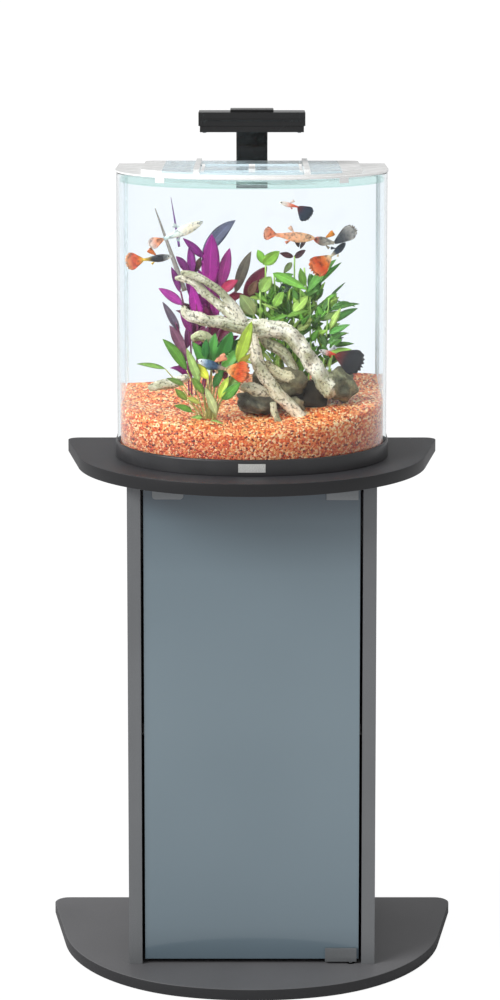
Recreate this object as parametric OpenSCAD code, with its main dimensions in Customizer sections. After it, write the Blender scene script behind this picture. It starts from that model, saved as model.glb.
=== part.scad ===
// Bent-glass nano aquarium with clear lid and tilting lamp, on its fitted cabinet stand.
// +Z is up, -Y is the front, +Y is the wall side. The origin is on the floor, at the middle
// of the footprint. Lengths are millimetres.

/* [Stand boards] */
// Half width of the bottom board along its rear edge
base_half_w = 305.5; // [290:0.5:320]
// Depth of the bottom board
base_d = 356; // [354:0.5:380]
// Thickness of the bottom board
base_t = 16; // [15:1:22]
// Half width of the top board along its rear edge
top_half_w = 279; // [260:1:290]
// Depth of the top board
top_d = 353.5; // [340:0.5:357]
// Thickness of the top board
top_t = 18; // [16:1:22]
// Height of the felt glides under the bottom board
glide_h = 2; // [2:0.5:5]

/* [Cabinet] */
// Outer width of the cabinet
cab_w = 352; // [340:1:370]
// Distance from the rear plane to the front edges of the side panels
cab_d = 263.5; // [255:0.5:275]
// Clear height between the two boards
cab_h = 700; // [680:5:720]
// Thickness of the side panels
panel_t = 19; // [16:1:19]
// Thickness of the back panel
back_t = 3; // [3:1:4]
// Thickness of the shelf and the rear rail
shelf_t = 16; // [12:1:18]
// Height of the shelf above the bottom board
shelf_z = 330; // [200:5:450]
// Radius of the cable port in the back panel
port_r = 30; // [20:1:35]

/* [Door] */
// Thickness of the door glass
door_t = 5; // [4:1:6]
// Width of the door glass
door_w = 306; // [290:1:308]
// Gap above and below the door glass
door_gap = 6.7; // [6:0.1:9]
// Distance from the pivots to the hinge-side edge of the door
pivot_inset = 11; // [9:0.5:13]
// Radius of the hinge pins
pin_r = 3; // [2.5:0.5:4]
// Largest opening of the door in degrees
door_open_deg = 105; // [90:5:110]

/* [Tank] */
// Half width of the bent glass
tank_half_w = 195.5; // [190:0.5:200]
// Depth of the tank over the glass
tank_d = 282; // [275:1:290]
// Height of the glass rim above the top board
rim_h = 413; // [380:1:430]
// Thickness of the wall glass
glass_t = 4; // [4:0.5:6]
// Gap between the tank and the rear plane
tank_gap = 15.5; // [15:0.5:18]
// Height of the base trim
trim_h = 23; // [18:1:26]

/* [Lamp] */
// Width of the lamp head
lamp_w = 153; // [140:1:160]
// Depth of the lamp head
lamp_d = 65; // [60:1:70]
// Height of the lamp head's underside above the rim
lamp_lift = 56.5; // [50:0.5:60]
// Height of the whole lamp head
lamp_h = 28.5; // [27:0.5:36]
// Width of the arm and the bracket
arm_w = 46; // [40:1:50]
// Largest tilt of the lamp in degrees
lamp_tilt_deg = 45; // [30:5:45]

/* [Hidden] */
$fn = 48;

black_board = "#4a4a4c";
steel = "#9a9da0";
clear_glass = "#cfe6ea";
black_plastic = "#2b2b2d";
clear_plastic = "#eef3f4";

// The two boards are D shapes: sides that lean in, round corners and a bowed front.
base_slant = 11.2;
base_front_r = 372;
base_corner_r = 246;
base_rear_r = 20;
top_slant = 10.4;
top_front_r = 273;
top_corner_r = 246;
top_rear_r = 15;
tank_front_r = 250;
tank_corner_r = 170;

rear_y = base_d / 2;
base_top = glide_h + base_t;
cab_top = base_top + cab_h;
board_top = cab_top + top_t;
cab_front = rear_y - cab_d;
panel_rear = rear_y - 6;
inner_half = cab_w / 2 - panel_t;
shelf_under = base_top + shelf_z;
fit = 0.15;

pivot_x = cab_w / 2 - panel_t - 4 - pivot_inset;
door_right = pivot_x + pivot_inset;
door_y = cab_front + 5.5;
door_low = base_top + door_gap;
door_high = cab_top - door_gap;
clamp_w = 45;
clamp_h = 20;
clamp_gap = 3.1;
clamp_plate = 2;
pad_t = 0.5;
clamp_half_t = door_t / 2 + pad_t + clamp_plate;

latch_x = -118.5;
latch_w = 20;
latch_len = 72;
latch_front = door_y + door_t / 2 + 3.5;
latch_z = cab_top - 10;
plunger_r = 4;

tank_y = rear_y - tank_gap;
mat_t = 3;
base_glass_t = 5;
rim_z = board_top + rim_h;
trim_t = 2.8;
seam = 1;

lid_t = 2.5;
lid_over = 1.5;
tray_half_w = 156;
tray_rear = 27;
tray_rise = 6;
tray_top = rim_z + tray_rise + lid_t;
rib_x = 77;
rib_w = 8;
rib_h = 4;
notch_half_w = arm_w / 2 + 4;
notch_d = 24;
flap_half_w = 71;
flap_hinge_y = tank_y - 150;
flap_hinge_z = tray_top + 2.1;
flap_front = tank_y - 248;
flap_t = 2;
barrel_r = 1.9;
flap_pin_r = 1;

lamp_rear = tank_y - 68;
lamp_front = lamp_rear - lamp_d;
lamp_low = rim_z + lamp_lift;
lamp_high = lamp_low + lamp_h;
lamp_split = lamp_low + 9;
lamp_wall = 2;
hinge_y = tank_y - 3;
hinge_z = rim_z + 16;
arm_pin_r = 3;
ear_w = 8;
bracket_block_h = 7;
bracket_leg = 28;

bed_inset = glass_t + 0.5;
bed_low = board_top + mat_t + base_glass_t;
bed_rear_h = 101;
bed_front_h = 57;

// Right half of a D outline from the middle of the rear edge to the middle of the front.
// w: half width at the rear, d: depth, s: lean of the side, fr and cr: radii of the front
// and of the front corners, i: inset, r: distance of the rear edge from y = 0.
function dot2(a, b) = a[0] * b[0] + a[1] * b[1];
function side_dir(s) = [-sin(s), -cos(s)];
function side_in(s) = [-cos(s), sin(s)];
function corner_reach(w, d, s, fr, cr) =
    let (p = [w, d - fr] + cr * side_in(s), b = dot2(p, side_dir(s)))
    -b + sqrt(b * b - dot2(p, p) + (fr - cr) * (fr - cr));
function corner_mid(w, d, s, fr, cr) =
    [w, 0] + corner_reach(w, d, s, fr, cr) * side_dir(s) + cr * side_in(s);
function arc_points(c, r, a0, a1, n) =
    [for (k = [0 : n]) c + r * [cos(a0 + (a1 - a0) * k / n), sin(a0 + (a1 - a0) * k / n)]];
function rear_points(w, s, rr, r) = rr > 0
    ? arc_points([w - (rr + rr * sin(s)) / cos(s), -rr - r], rr, 90, -s, 4)
    : [[w - r * tan(s), -r]];
function half_points(w, d, s, fr, cr, rr, i, r) =
    let (wi = w - i / cos(s), di = d - i, fi = fr - i, ci = cr - i,
        c = corner_mid(wi, di, s, fi, ci), e = atan2(c[1] + di - fi, c[0]))
    concat(rear_points(wi, s, rr, r), arc_points(c, ci, -s, e, 12),
        [for (p = arc_points([0, fi - di], fi, e, -90, 12)) if (p[1] > -di + 0.001) p],
        [[0, -di]]);
function d_points(w, d, s, fr, cr, rr, i, r) =
    let (h = half_points(w, d, s, fr, cr, rr, i, r), n = len(h))
    concat(h, [for (k = [n - 2 : -1 : 0]) [-h[k][0], h[k][1]]]);

module base_outline() {
    polygon(d_points(base_half_w, base_d, base_slant, base_front_r, base_corner_r,
        base_rear_r, 0, 0));
}

module top_outline() {
    polygon(d_points(top_half_w, top_d, top_slant, top_front_r, top_corner_r,
        top_rear_r, 0, 0));
}

// Outline of the tank, inset by i all round and by r at the rear.
module tank_outline(i = 0, r = 0) {
    translate([0, tank_y])
        polygon(d_points(tank_half_w, tank_d, 0, tank_front_r, tank_corner_r, 0, i, r));
}

module tank_ring(outer, inner, z0, z1, rear_outer, rear_inner) {
    translate([0, 0, z0])
        linear_extrude(z1 - z0)
            difference() {
                tank_outline(outer, rear_outer);
                tank_outline(inner, rear_inner);
            }
}

module box(x0, x1, y0, y1, z0, z1) {
    translate([x0, y0, z0])
        cube([x1 - x0, y1 - y0, z1 - z0]);
}

module rod_x(x0, x1, y, z, r) {
    translate([x0, y, z])
        rotate([0, 90, 0])
            cylinder(h = x1 - x0, r = r);
}

module rod_y(x, y0, y1, z, r) {
    translate([x, y0, z])
        rotate([-90, 0, 0])
            cylinder(h = y1 - y0, r = r);
}

module rod_z(x, y, z0, z1, r) {
    translate([x, y, z0])
        cylinder(h = z1 - z0, r = r);
}

// ---- stand ----

dowel_y = [cab_front + 40, panel_rear - 40];
bolt_y = [cab_front + 75, panel_rear - 75];
dowel_r = 4;
dowel_half = 12;
cam_r = 7.5;
cam_depth = 13;
cam_drop = 34;
bolt_r = 3;
joint_x = cab_w / 2 - panel_t / 2;

// Bores that the dowels and cam bolts need where a board meets a side panel.
module joint_bores(extra) {
    for (sx = [-1, 1], y = dowel_y)
        rod_z(sx * joint_x, y, base_top - dowel_half - extra, base_top + dowel_half + extra,
            dowel_r + fit);
    for (sx = [-1, 1], y = dowel_y)
        rod_z(sx * joint_x, y, cab_top - dowel_half - extra, cab_top + dowel_half + extra,
            dowel_r + fit);
    for (sx = [-1, 1], y = bolt_y)
        rod_z(sx * joint_x, y, base_top - 10 - extra, base_top + cam_drop, bolt_r + fit);
    for (sx = [-1, 1], y = bolt_y)
        rod_z(sx * joint_x, y, cab_top - cam_drop, cab_top + 10 + extra, bolt_r + fit);
}

module bottom_board() {
    color(black_board)
        difference() {
            translate([0, rear_y, glide_h])
                linear_extrude(base_t)
                    base_outline();
            joint_bores(0.3);
            rod_z(pivot_x, door_y, base_top - 8, base_top + 1, 6 + fit);
        }
}

module top_board() {
    color(black_board)
        difference() {
            translate([0, rear_y, cab_top])
                linear_extrude(top_t)
                    top_outline();
            joint_bores(0.3);
            rod_z(pivot_x, door_y, cab_top - 1, cab_top + 8, 6 + fit);
        }
}

module side_panel(sx) {
    x0 = sx > 0 ? inner_half : -cab_w / 2;
    color(black_board)
        difference() {
            box(x0, x0 + panel_t, cab_front, panel_rear, base_top, cab_top);
            joint_bores(0.3);
            for (y = bolt_y, z = [base_top + cam_drop, cab_top - cam_drop])
                translate([sx * (inner_half - 1), y, z])
                    rotate([0, sx * 90, 0])
                        cylinder(h = cam_depth + 1.3, r = cam_r + fit);
            for (y = dowel_y)
                translate([sx * (inner_half - 1), y, shelf_under - 2.5])
                    rotate([0, sx * 90, 0])
                        cylinder(h = 11.3, r = 2.5 + fit);
        }
}

module left_side_panel() {
    side_panel(-1);
}

module right_side_panel() {
    side_panel(1);
}

port_z = base_top + 590;
screw_zs = [60, 250, 450, 640];

module back_panel() {
    color("#3d3d3f")
        difference() {
            box(-cab_w / 2 + 2, cab_w / 2 - 2, panel_rear, panel_rear + back_t,
                base_top, cab_top);
            rod_y(0, panel_rear - 1, panel_rear + back_t + 1, port_z, port_r + 2.5);
            for (sx = [-1, 1], z = screw_zs)
                rod_y(sx * joint_x, panel_rear - 1, panel_rear + back_t + 1,
                    base_top + z, 1.5);
        }
}

module rear_rail() {
    color(black_board)
        box(-inner_half, inner_half, panel_rear - shelf_t, panel_rear, cab_top - 70, cab_top);
}

module shelf() {
    color(black_board)
        box(-inner_half + 1, inner_half - 1, cab_front + 25, panel_rear - 1,
            shelf_under, shelf_under + shelf_t);
}

module shelf_pins() {
    color(steel)
        for (sx = [-1, 1], y = dowel_y)
            translate([sx * (inner_half - 7), y, shelf_under - 2.5])
                rotate([0, sx * 90, 0])
                    cylinder(h = 17, r = 2.5);
}

// Glides: distance from the middle and from the rear edge.
glide_spots = [[-250, 30], [250, 30], [-215, 200], [215, 200], [0, 30], [0, 320]];

module floor_glides() {
    color("#6d6a66")
        for (p = glide_spots)
            rod_z(p[0], rear_y - p[1], 0, glide_h, 14);
}

module cam_locks() {
    color(steel)
        for (sx = [-1, 1], y = bolt_y, z = [base_top + cam_drop, cab_top - cam_drop])
            translate([sx * inner_half, y, z])
                rotate([0, sx * 90, 0])
                    difference() {
                        cylinder(h = cam_depth, r = cam_r);
                        translate([-1, -5, -1])
                            cube([2, 10, 3.5]);
                        translate([-5, -1, -1])
                            cube([10, 2, 3.5]);
                        translate([0, 0, panel_t / 2])
                            rotate([0, 90, 0])
                                cylinder(h = 20, r = bolt_r + 2 * fit, center = true);
                    }
}

module cam_bolts() {
    color("#c8b27a")
        for (sx = [-1, 1], y = bolt_y) {
            rod_z(sx * joint_x, y, base_top - 10, base_top + cam_drop - 2, bolt_r);
            rod_z(sx * joint_x, y, cab_top - cam_drop + 2, cab_top + 10, bolt_r);
        }
}

module wood_dowels() {
    color("#c9a46a")
        for (sx = [-1, 1], y = dowel_y, z = [base_top, cab_top])
            rod_z(sx * joint_x, y, z - dowel_half, z + dowel_half, dowel_r);
}

module back_screws() {
    color(steel)
        for (sx = [-1, 1], z = screw_zs) {
            rod_y(sx * joint_x, panel_rear, panel_rear + back_t, base_top + z, 1.3);
            rod_y(sx * joint_x, panel_rear + back_t, panel_rear + back_t + 1.2,
                base_top + z, 3.2);
        }
}

module cable_grommet() {
    color(black_plastic)
        difference() {
            union() {
                rod_y(0, panel_rear - 2, panel_rear + back_t + 1, port_z, port_r + 2.3);
                rod_y(0, panel_rear + back_t, panel_rear + back_t + 1.5, port_z, port_r + 6);
                rod_y(0, panel_rear - 2, panel_rear - 0.1, port_z, port_r + 4);
            }
            rod_y(0, panel_rear - 3, panel_rear + back_t + 3, port_z, port_r);
        }
}

// ---- door hinges, latch and door ----

module hinge_bushes() {
    color("#d9d9d6")
        for (s = [-1, 1]) {
            face = s > 0 ? cab_top : base_top;
            difference() {
                translate([pivot_x, door_y, face])
                    cylinder(h = 15.6, r = 6, center = true);
                translate([pivot_x, door_y, face - s * 5])
                    cylinder(h = 10, r = 7, center = true);
                translate([pivot_x, door_y, face])
                    cylinder(h = 14.5, r = pin_r + 0.05, center = true);
            }
        }
}

module latch_housing() {
    color("#d4d5d6")
        difference() {
            box(latch_x - latch_w / 2, latch_x + latch_w / 2, latch_front,
                latch_front + latch_len, latch_z - 9, cab_top);
            rod_y(latch_x, latch_front - 1, latch_front + latch_len - 4, latch_z,
                plunger_r + 0.05);
            for (y = [18, 54])
                rod_z(latch_x + 7, latch_front + y, latch_z - 10, cab_top - 1, 1.5);
        }
}

module latch_spring() {
    color(steel)
        difference() {
            rod_y(latch_x, latch_front + 50.5, latch_front + latch_len - 4.2, latch_z, 3.2);
            rod_y(latch_x, latch_front + 49, latch_front + latch_len, latch_z, 2);
        }
}

module latch_screws() {
    color(steel)
        for (y = [18, 54]) {
            rod_z(latch_x + 7, latch_front + y, latch_z - 9, cab_top - 1.2, 1.35);
            rod_z(latch_x + 7, latch_front + y, latch_z - 10.2, latch_z - 9, 2.6);
        }
}

module latch_plunger() {
    color("#e4e4e2")
        rod_y(latch_x, latch_front - 1, latch_front + 47, latch_z, plunger_r);
}

module latch_magnet() {
    color("#55585c")
        rod_y(latch_x, latch_front - 2.3, latch_front - 1, latch_z, plunger_r);
}

module door_glass() {
    color("#7c8c93")
        box(door_right - door_w, door_right, door_y - door_t / 2, door_y + door_t / 2,
            door_low, door_high);
}

clamp_x0 = door_right - 3 - clamp_w;
clamp_x1 = door_right - 3;

// U-shaped clamp over one corner of the glass, with s = 1 at the top and -1 at the bottom.
module hinge_clamp(s) {
    face = s > 0 ? cab_top : base_top;
    edge = face - s * clamp_gap;
    z0 = min(edge, edge - s * clamp_h);
    g0 = s > 0 ? z0 - 1 : door_low;
    g1 = s > 0 ? door_high : z0 + clamp_h + 1;
    slot = door_t / 2 + pad_t;
    color(steel)
        difference() {
            box(clamp_x0, clamp_x1, door_y - clamp_half_t, door_y + clamp_half_t,
                z0, z0 + clamp_h);
            box(clamp_x0 - 1, clamp_x1 + 1, door_y - slot, door_y + slot, g0, g1);
            for (x = [10, 28])
                rod_y(clamp_x0 + x, door_y, door_y + clamp_half_t + 1,
                    edge - s * 12, 2 + fit);
            translate([pivot_x, door_y, edge])
                cylinder(h = 6.4, r = pin_r + 0.05, center = true);
        }
}

module upper_hinge_clamp() {
    hinge_clamp(1);
}

module lower_hinge_clamp() {
    hinge_clamp(-1);
}

module hinge_pins() {
    color("#b9bcbf")
        for (s = [-1, 1]) {
            face = s > 0 ? cab_top : base_top;
            low = s > 0 ? face - clamp_gap - 3.1 : face - 6.9;
            rod_z(pivot_x, door_y, low, low + clamp_gap + 10, pin_r);
        }
}

module hinge_pads() {
    color("#1d1d1f")
        for (s = [-1, 1], side = [-1, 1]) {
            edge = s > 0 ? door_high : door_low;
            z0 = s > 0 ? edge - 14 : edge + 1;
            y = door_y + side * (door_t / 2 + pad_t / 2);
            box(clamp_x0 + 1, clamp_x1 - 1, y - pad_t / 2, y + pad_t / 2, z0, z0 + 13);
        }
}

module clamp_set_screws() {
    color("#6f7276")
        for (s = [-1, 1], x = [10, 28]) {
            face = s > 0 ? cab_top : base_top;
            z = face - s * (clamp_gap + 12);
            y0 = door_y + door_t / 2 + pad_t;
            difference() {
                rod_y(clamp_x0 + x, y0, y0 + 4, z, 2);
                rod_y(clamp_x0 + x, y0 + 2, y0 + 5, z, 1);
            }
        }
}

strike_x0 = latch_x - 22;
strike_x1 = latch_x + 22;

module strike_clip() {
    slot = door_t / 2;
    low = cab_top - 22.5;
    color(steel)
        difference() {
            union() {
                box(strike_x0, strike_x1, door_y - slot - 1, door_y + slot + 1,
                    low + 5, door_high + 1);
                box(strike_x0 + 5, strike_x1 - 5, door_y - slot - 1, door_y + slot + 1,
                    low, low + 6);
                for (x = [strike_x0 + 5, strike_x1 - 5])
                    rod_y(x, door_y - slot - 1, door_y + slot + 1, low + 5, 5);
            }
            box(strike_x0 - 1, strike_x1 + 1, door_y - slot, door_y + slot,
                low - 1, door_high);
        }
}

// ---- tank ----

module tank_front_glass() {
    color(clear_glass, 0.4)
        tank_ring(0, glass_t, board_top + mat_t, rim_z, 0, -1);
}

module tank_back_glass() {
    w = tank_half_w - glass_t - seam;
    color(clear_glass, 0.4)
        box(-w, w, tank_y - glass_t, tank_y, board_top + mat_t, rim_z);
}

module tank_base_glass() {
    color(clear_glass, 0.4)
        translate([0, 0, board_top + mat_t])
            linear_extrude(base_glass_t)
                tank_outline(glass_t + seam, glass_t + seam);
}

bead = 4;

module silicone_seams() {
    low = board_top + mat_t;
    x1 = tank_half_w - glass_t;
    color("#b8c4c6")
        union() {
            tank_ring(glass_t, glass_t + seam, low, low + base_glass_t, glass_t, glass_t + seam);
            for (sx = [-1, 1]) {
                x0 = sx > 0 ? x1 - seam : -x1;
                b0 = sx > 0 ? x1 - bead : -x1;
                box(x0, x0 + seam, tank_y - glass_t - 0.5, tank_y, low + base_glass_t, rim_z);
                box(b0, b0 + bead, tank_y - glass_t - 1.5, tank_y - glass_t,
                    low + base_glass_t, rim_z);
            }
        }
}

module base_trim() {
    color(black_plastic)
        union() {
            tank_ring(-trim_t, 0, board_top, board_top + trim_h, -trim_t, 0);
            tank_ring(0, 12, board_top, board_top + mat_t, 0, 12);
        }
}

plate_w = 38;
plate_h = 12;

module trim_plate() {
    color("#dddddd")
        intersection() {
            tank_ring(-trim_t - 0.6, -trim_t, board_top + 5.5, board_top + 5.5 + plate_h,
                0, 0);
            box(-plate_w / 2, plate_w / 2, tank_y - tank_d - 10, tank_y - tank_d + 20,
                board_top, board_top + trim_h);
        }
}

module foam_mat() {
    color("#55565a")
        translate([0, 0, board_top])
            linear_extrude(mat_t)
                tank_outline(12, 12);
}

// ---- lid ----

tray_corner_r = 12;

// Outline of the raised middle of the lid, grown by g.
module tray_outline(g = 0) {
    r = tray_corner_r + g;
    w = tray_half_w + g;
    intersection() {
        tank_outline(12 - g, tray_rear - g);
        union() {
            translate([-w + r, tank_y - tank_d])
                square([2 * (w - r), tank_d]);
            translate([-w, tank_y - tank_d])
                square([2 * w, tank_d - tray_rear + g - r]);
            for (sx = [-1, 1])
                translate([sx * (w - r), tank_y - tray_rear + g - r])
                    circle(r);
        }
    }
}

hole_half_w = 64;
hole_rear = flap_hinge_y - 10;
hole_front = flap_front + 7;
slit_x = 138;

module lid_frame() {
    color(clear_plastic, 0.6)
        difference() {
            union() {
                translate([0, 0, rim_z])
                    linear_extrude(lid_t)
                        difference() {
                            tank_outline(-lid_over, 0);
                            tray_outline(-lid_t);
                            translate([-notch_half_w, tank_y - notch_d])
                                square([2 * notch_half_w, notch_d + 1]);
                        }
                translate([0, 0, rim_z])
                    linear_extrude(tray_rise + lid_t)
                        difference() {
                            tray_outline(0);
                            tray_outline(-lid_t);
                        }
                translate([0, 0, tray_top - lid_t])
                    linear_extrude(lid_t)
                        tray_outline(-lid_t / 2);
                for (sx = [-1, 1])
                    box(sx * rib_x - rib_w / 2, sx * rib_x + rib_w / 2, flap_front - 4,
                        tank_y - tray_rear - 10, tray_top - 1, tray_top + rib_h);
            }
            box(-hole_half_w, hole_half_w, hole_front, hole_rear, rim_z, tray_top + 9);
            for (sx = [-1, 1])
                box(sx * slit_x - 6, sx * slit_x + 6, tank_y - 52, tank_y - 48,
                    rim_z, tray_top + 1);
            for (sx = [-1, 1])
                rod_x(sx * rib_x - 5, sx * rib_x + 5, flap_hinge_y, flap_hinge_z,
                    flap_pin_r + 0.05);
        }
}

clip_x = 128;
clip_w = 13;
clip_drop = 7;

// Hooks that hang over the outside of the front glass.
module lid_clips() {
    color(clear_plastic, 0.8)
        for (sx = [-1, 1])
            intersection() {
                tank_ring(-lid_over - 1.6, -0.5, rim_z - clip_drop, rim_z, 0, 0);
                box(sx * clip_x - clip_w / 2, sx * clip_x + clip_w / 2,
                    tank_y - tank_d - 5, tank_y - 150, rim_z - clip_drop, rim_z + 1);
            }
}

module feeding_flap() {
    color(clear_plastic, 0.6)
        difference() {
            union() {
                box(-flap_half_w, flap_half_w, flap_front, flap_hinge_y,
                    tray_top + 0.2, tray_top + 0.2 + flap_t);
                rod_x(-flap_half_w, flap_half_w, flap_hinge_y, flap_hinge_z, barrel_r);
                box(-5.5, 5.5, flap_front - 6, flap_front + 1,
                    tray_top + 0.2, tray_top + 0.2 + flap_t);
                box(-5.5, 5.5, flap_front - 6, flap_front - 4,
                    tray_top + 1, tray_top + 5);
            }
            for (sx = [-1, 1])
                rod_x(sx > 0 ? flap_half_w - 6 : -flap_half_w - 1,
                    sx > 0 ? flap_half_w + 1 : -flap_half_w + 6,
                    flap_hinge_y, flap_hinge_z, flap_pin_r);
        }
}

module flap_pins() {
    color(steel)
        for (sx = [-1, 1])
            rod_x(sx > 0 ? flap_half_w - 6 : -flap_half_w - 9,
                sx > 0 ? flap_half_w + 9 : -flap_half_w + 6,
                flap_hinge_y, flap_hinge_z, flap_pin_r);
}

// ---- lamp ----

// Upper shell of the head, with a shallow front recess and a raised bead above it.
module lamp_cover() {
    w = lamp_w / 2;
    color(black_plastic)
        difference() {
            union() {
                box(-w, w, lamp_front, lamp_rear, lamp_split, lamp_high);
                box(-w + 2, w - 2, lamp_front - 1, lamp_front + 1,
                    lamp_split + 8, lamp_split + 10);
            }
            box(-w + lamp_wall, w - lamp_wall, lamp_front + lamp_wall,
                lamp_rear - lamp_wall, lamp_split - 1, lamp_high - lamp_wall);
            box(-w + 6, w - 6, lamp_front - 2, lamp_front + 0.8, lamp_split - 1,
                lamp_split + 7);
            box(-arm_w / 2 - fit, arm_w / 2 + fit, lamp_rear - lamp_wall - 1, lamp_rear + 1,
                lamp_split - 1, lamp_split + 14 + fit);
        }
}

base_half = 74.5;
window_half_w = 62;
window_d = 42;
lamp_mid = (lamp_front + lamp_rear) / 2;
board_z = lamp_low + 4.5;

module lamp_base() {
    color(black_plastic)
        difference() {
            box(-base_half, base_half, lamp_front + 2, lamp_rear - 2, lamp_low, lamp_split);
            box(-window_half_w, window_half_w, lamp_mid - window_d / 2,
                lamp_mid + window_d / 2, lamp_low - 1, board_z + 3);
            for (sx = [-1, 1], sy = [-1, 1])
                rod_z(sx * 68, lamp_mid + sy * 26, lamp_low - 1, lamp_split + 1, 1.6);
        }
}

module led_board() {
    color("#e9ece8")
        box(-window_half_w + 1, window_half_w - 1, lamp_mid - window_d / 2 + 1,
            lamp_mid + window_d / 2 - 1, board_z + 1.4, board_z + 3);
}

led_pitch = 11;
led_side = 5;

module led_chips() {
    color("#fff2c4")
        for (k = [-5 : 5], row = [-1, 1])
            translate([k * led_pitch, lamp_mid + row * 10, board_z + 0.9])
                cube([led_side, led_side, 1], center = true);
}

module lamp_diffuser() {
    color("#f4f7f7", 0.8)
        box(-window_half_w, window_half_w, lamp_mid - window_d / 2,
            lamp_mid + window_d / 2, lamp_low, lamp_low + 2);
}

// Side outline of the arm: up from the bracket, forward at a slope, then level to the head.
module arm_outline() {
    polygon([
        [tank_y - 10, rim_z + 6], [tank_y - 10, rim_z + 31], [tank_y - 36, lamp_split + 14],
        [lamp_rear, lamp_split + 14], [lamp_rear, lamp_split], [tank_y - 42, lamp_split],
        [tank_y - 16, rim_z + 28], [tank_y - 16, rim_z + 6]]);
}

knuckle_half = arm_w / 2 - ear_w - 0.5;
knuckle_r = 7;

module lamp_arm() {
    color(black_plastic)
        difference() {
            union() {
                translate([-arm_w / 2, 0, 0])
                    rotate([90, 0, 90])
                        linear_extrude(arm_w)
                            arm_outline();
                rod_x(-knuckle_half, knuckle_half, hinge_y, hinge_z, knuckle_r);
                box(-knuckle_half, knuckle_half, tank_y - 11, hinge_y,
                    hinge_z - 5, hinge_z + knuckle_r - 1);
            }
            rod_x(-arm_w, arm_w, hinge_y, hinge_z, arm_pin_r + 0.05);
        }
}

module lamp_saddle() {
    color("#323234")
        box(-31, 31, lamp_rear - 52, lamp_rear - 4, lamp_high, lamp_high + 3.5);
}

module lamp_screws() {
    color(steel)
        for (sx = [-1, 1], sy = [-1, 1]) {
            rod_z(sx * 68, lamp_mid + sy * 26, lamp_low, lamp_split - 0.5, 1.4);
            rod_z(sx * 68, lamp_mid + sy * 26, lamp_low - 1.2, lamp_low, 2.6);
        }
}

rear_leg = 4;
pad_gap = 1.5;
inner_leg_y = tank_y - glass_t - pad_gap;
outer_leg_y = tank_y + pad_gap;
bracket_low = rim_z - bracket_leg;
screw_z = rim_z - 16;

module lamp_bracket() {
    color(black_plastic)
        difference() {
            union() {
                box(-arm_w / 2, arm_w / 2, inner_leg_y - rear_leg, outer_leg_y + rear_leg,
                    rim_z + 0.5, rim_z + bracket_block_h);
                box(-arm_w / 2, arm_w / 2, inner_leg_y - rear_leg, inner_leg_y,
                    bracket_low, rim_z + 1);
                box(-arm_w / 2, arm_w / 2, outer_leg_y, outer_leg_y + rear_leg,
                    bracket_low, rim_z + 1);
                for (sx = [-1, 1]) {
                    x0 = sx > 0 ? arm_w / 2 - ear_w : -arm_w / 2;
                    rod_x(x0, x0 + ear_w, hinge_y, hinge_z, 6);
                    box(x0, x0 + ear_w, hinge_y - 6, hinge_y + 6, rim_z + 5, hinge_z);
                }
            }
            rod_x(-arm_w, arm_w, hinge_y, hinge_z, arm_pin_r + 0.02);
            rod_y(0, outer_leg_y - 1, outer_leg_y + rear_leg + 1, screw_z, 2.5 + 0.05);
            rod_x(arm_w / 2 - 9, arm_w / 2 + 1, tank_y + 2, rim_z + 3.8, 2.9);
        }
}

module lamp_hinge_pin() {
    color(steel)
        rod_x(-arm_w / 2, arm_w / 2, hinge_y, hinge_z, arm_pin_r);
}

module bracket_pads() {
    color("#3a3a3c")
        union() {
            box(-18, 18, inner_leg_y, tank_y - glass_t, bracket_low + 2, rim_z - 2);
            difference() {
                box(-18, 18, tank_y, outer_leg_y, bracket_low + 2, rim_z - 2);
                rod_y(0, tank_y - 1, outer_leg_y + 1, screw_z, 3.4);
            }
        }
}

module dc_inlet() {
    color("#161617")
        union() {
            difference() {
                rod_x(arm_w / 2 - 9, arm_w / 2, tank_y + 2, rim_z + 3.8, 2.9);
                rod_x(arm_w / 2 - 8, arm_w / 2 + 1, tank_y + 2, rim_z + 3.8, 2.3);
            }
            rod_x(arm_w / 2 - 8.5, arm_w / 2 - 1, tank_y + 2, rim_z + 3.8, 0.7);
        }
}

knob_r = 9;
knob_y = outer_leg_y + rear_leg + 0.4;

module bracket_screw() {
    color(black_plastic)
        difference() {
            union() {
                rod_y(0, tank_y + 0.1, knob_y + 1, screw_z, 2.5);
                rod_y(0, knob_y, knob_y + 7, screw_z, knob_r);
            }
            for (a = [0 : 45 : 315])
                rod_y(knob_r * 1.12 * cos(a), knob_y - 1, knob_y + 8,
                    screw_z + knob_r * 1.12 * sin(a), 2.2);
        }
}

// ---- inside the tank ----

// Bed of gravel that slopes up from the front glass to the rear glass.
module gravel_bed() {
    slope = atan((bed_rear_h - bed_front_h) / tank_d);
    color("#d9603a")
        difference() {
            translate([0, 0, bed_low])
                linear_extrude(bed_rear_h)
                    tank_outline(bed_inset + 1, bed_inset + 2);
            translate([-tank_half_w - 5, tank_y - tank_d, board_top + bed_front_h])
                rotate([slope, 0, 0])
                    cube([2 * tank_half_w + 10, tank_d * 1.2, 120]);
        }
}

// Limbs of the wood: each point is [x, distance from the tank's rear, height, radius].
limbs = [
    [[-98, 150, 262, 6], [-64, 150, 243, 8], [-24, 154, 208, 9], [-4, 152, 190, 11],
        [26, 150, 188, 13], [52, 150, 183, 12], [74, 153, 158, 12], [98, 156, 122, 12],
        [112, 159, 98, 12]],
    [[-94, 166, 213, 6], [-74, 165, 205, 9], [-28, 160, 194, 10], [-4, 154, 188, 10]],
    [[0, 158, 182, 9], [8, 176, 145, 9], [32, 192, 107, 10], [70, 196, 68, 8]],
    [[14, 148, 178, 6], [40, 146, 158, 8], [62, 150, 126, 6]]];

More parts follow.
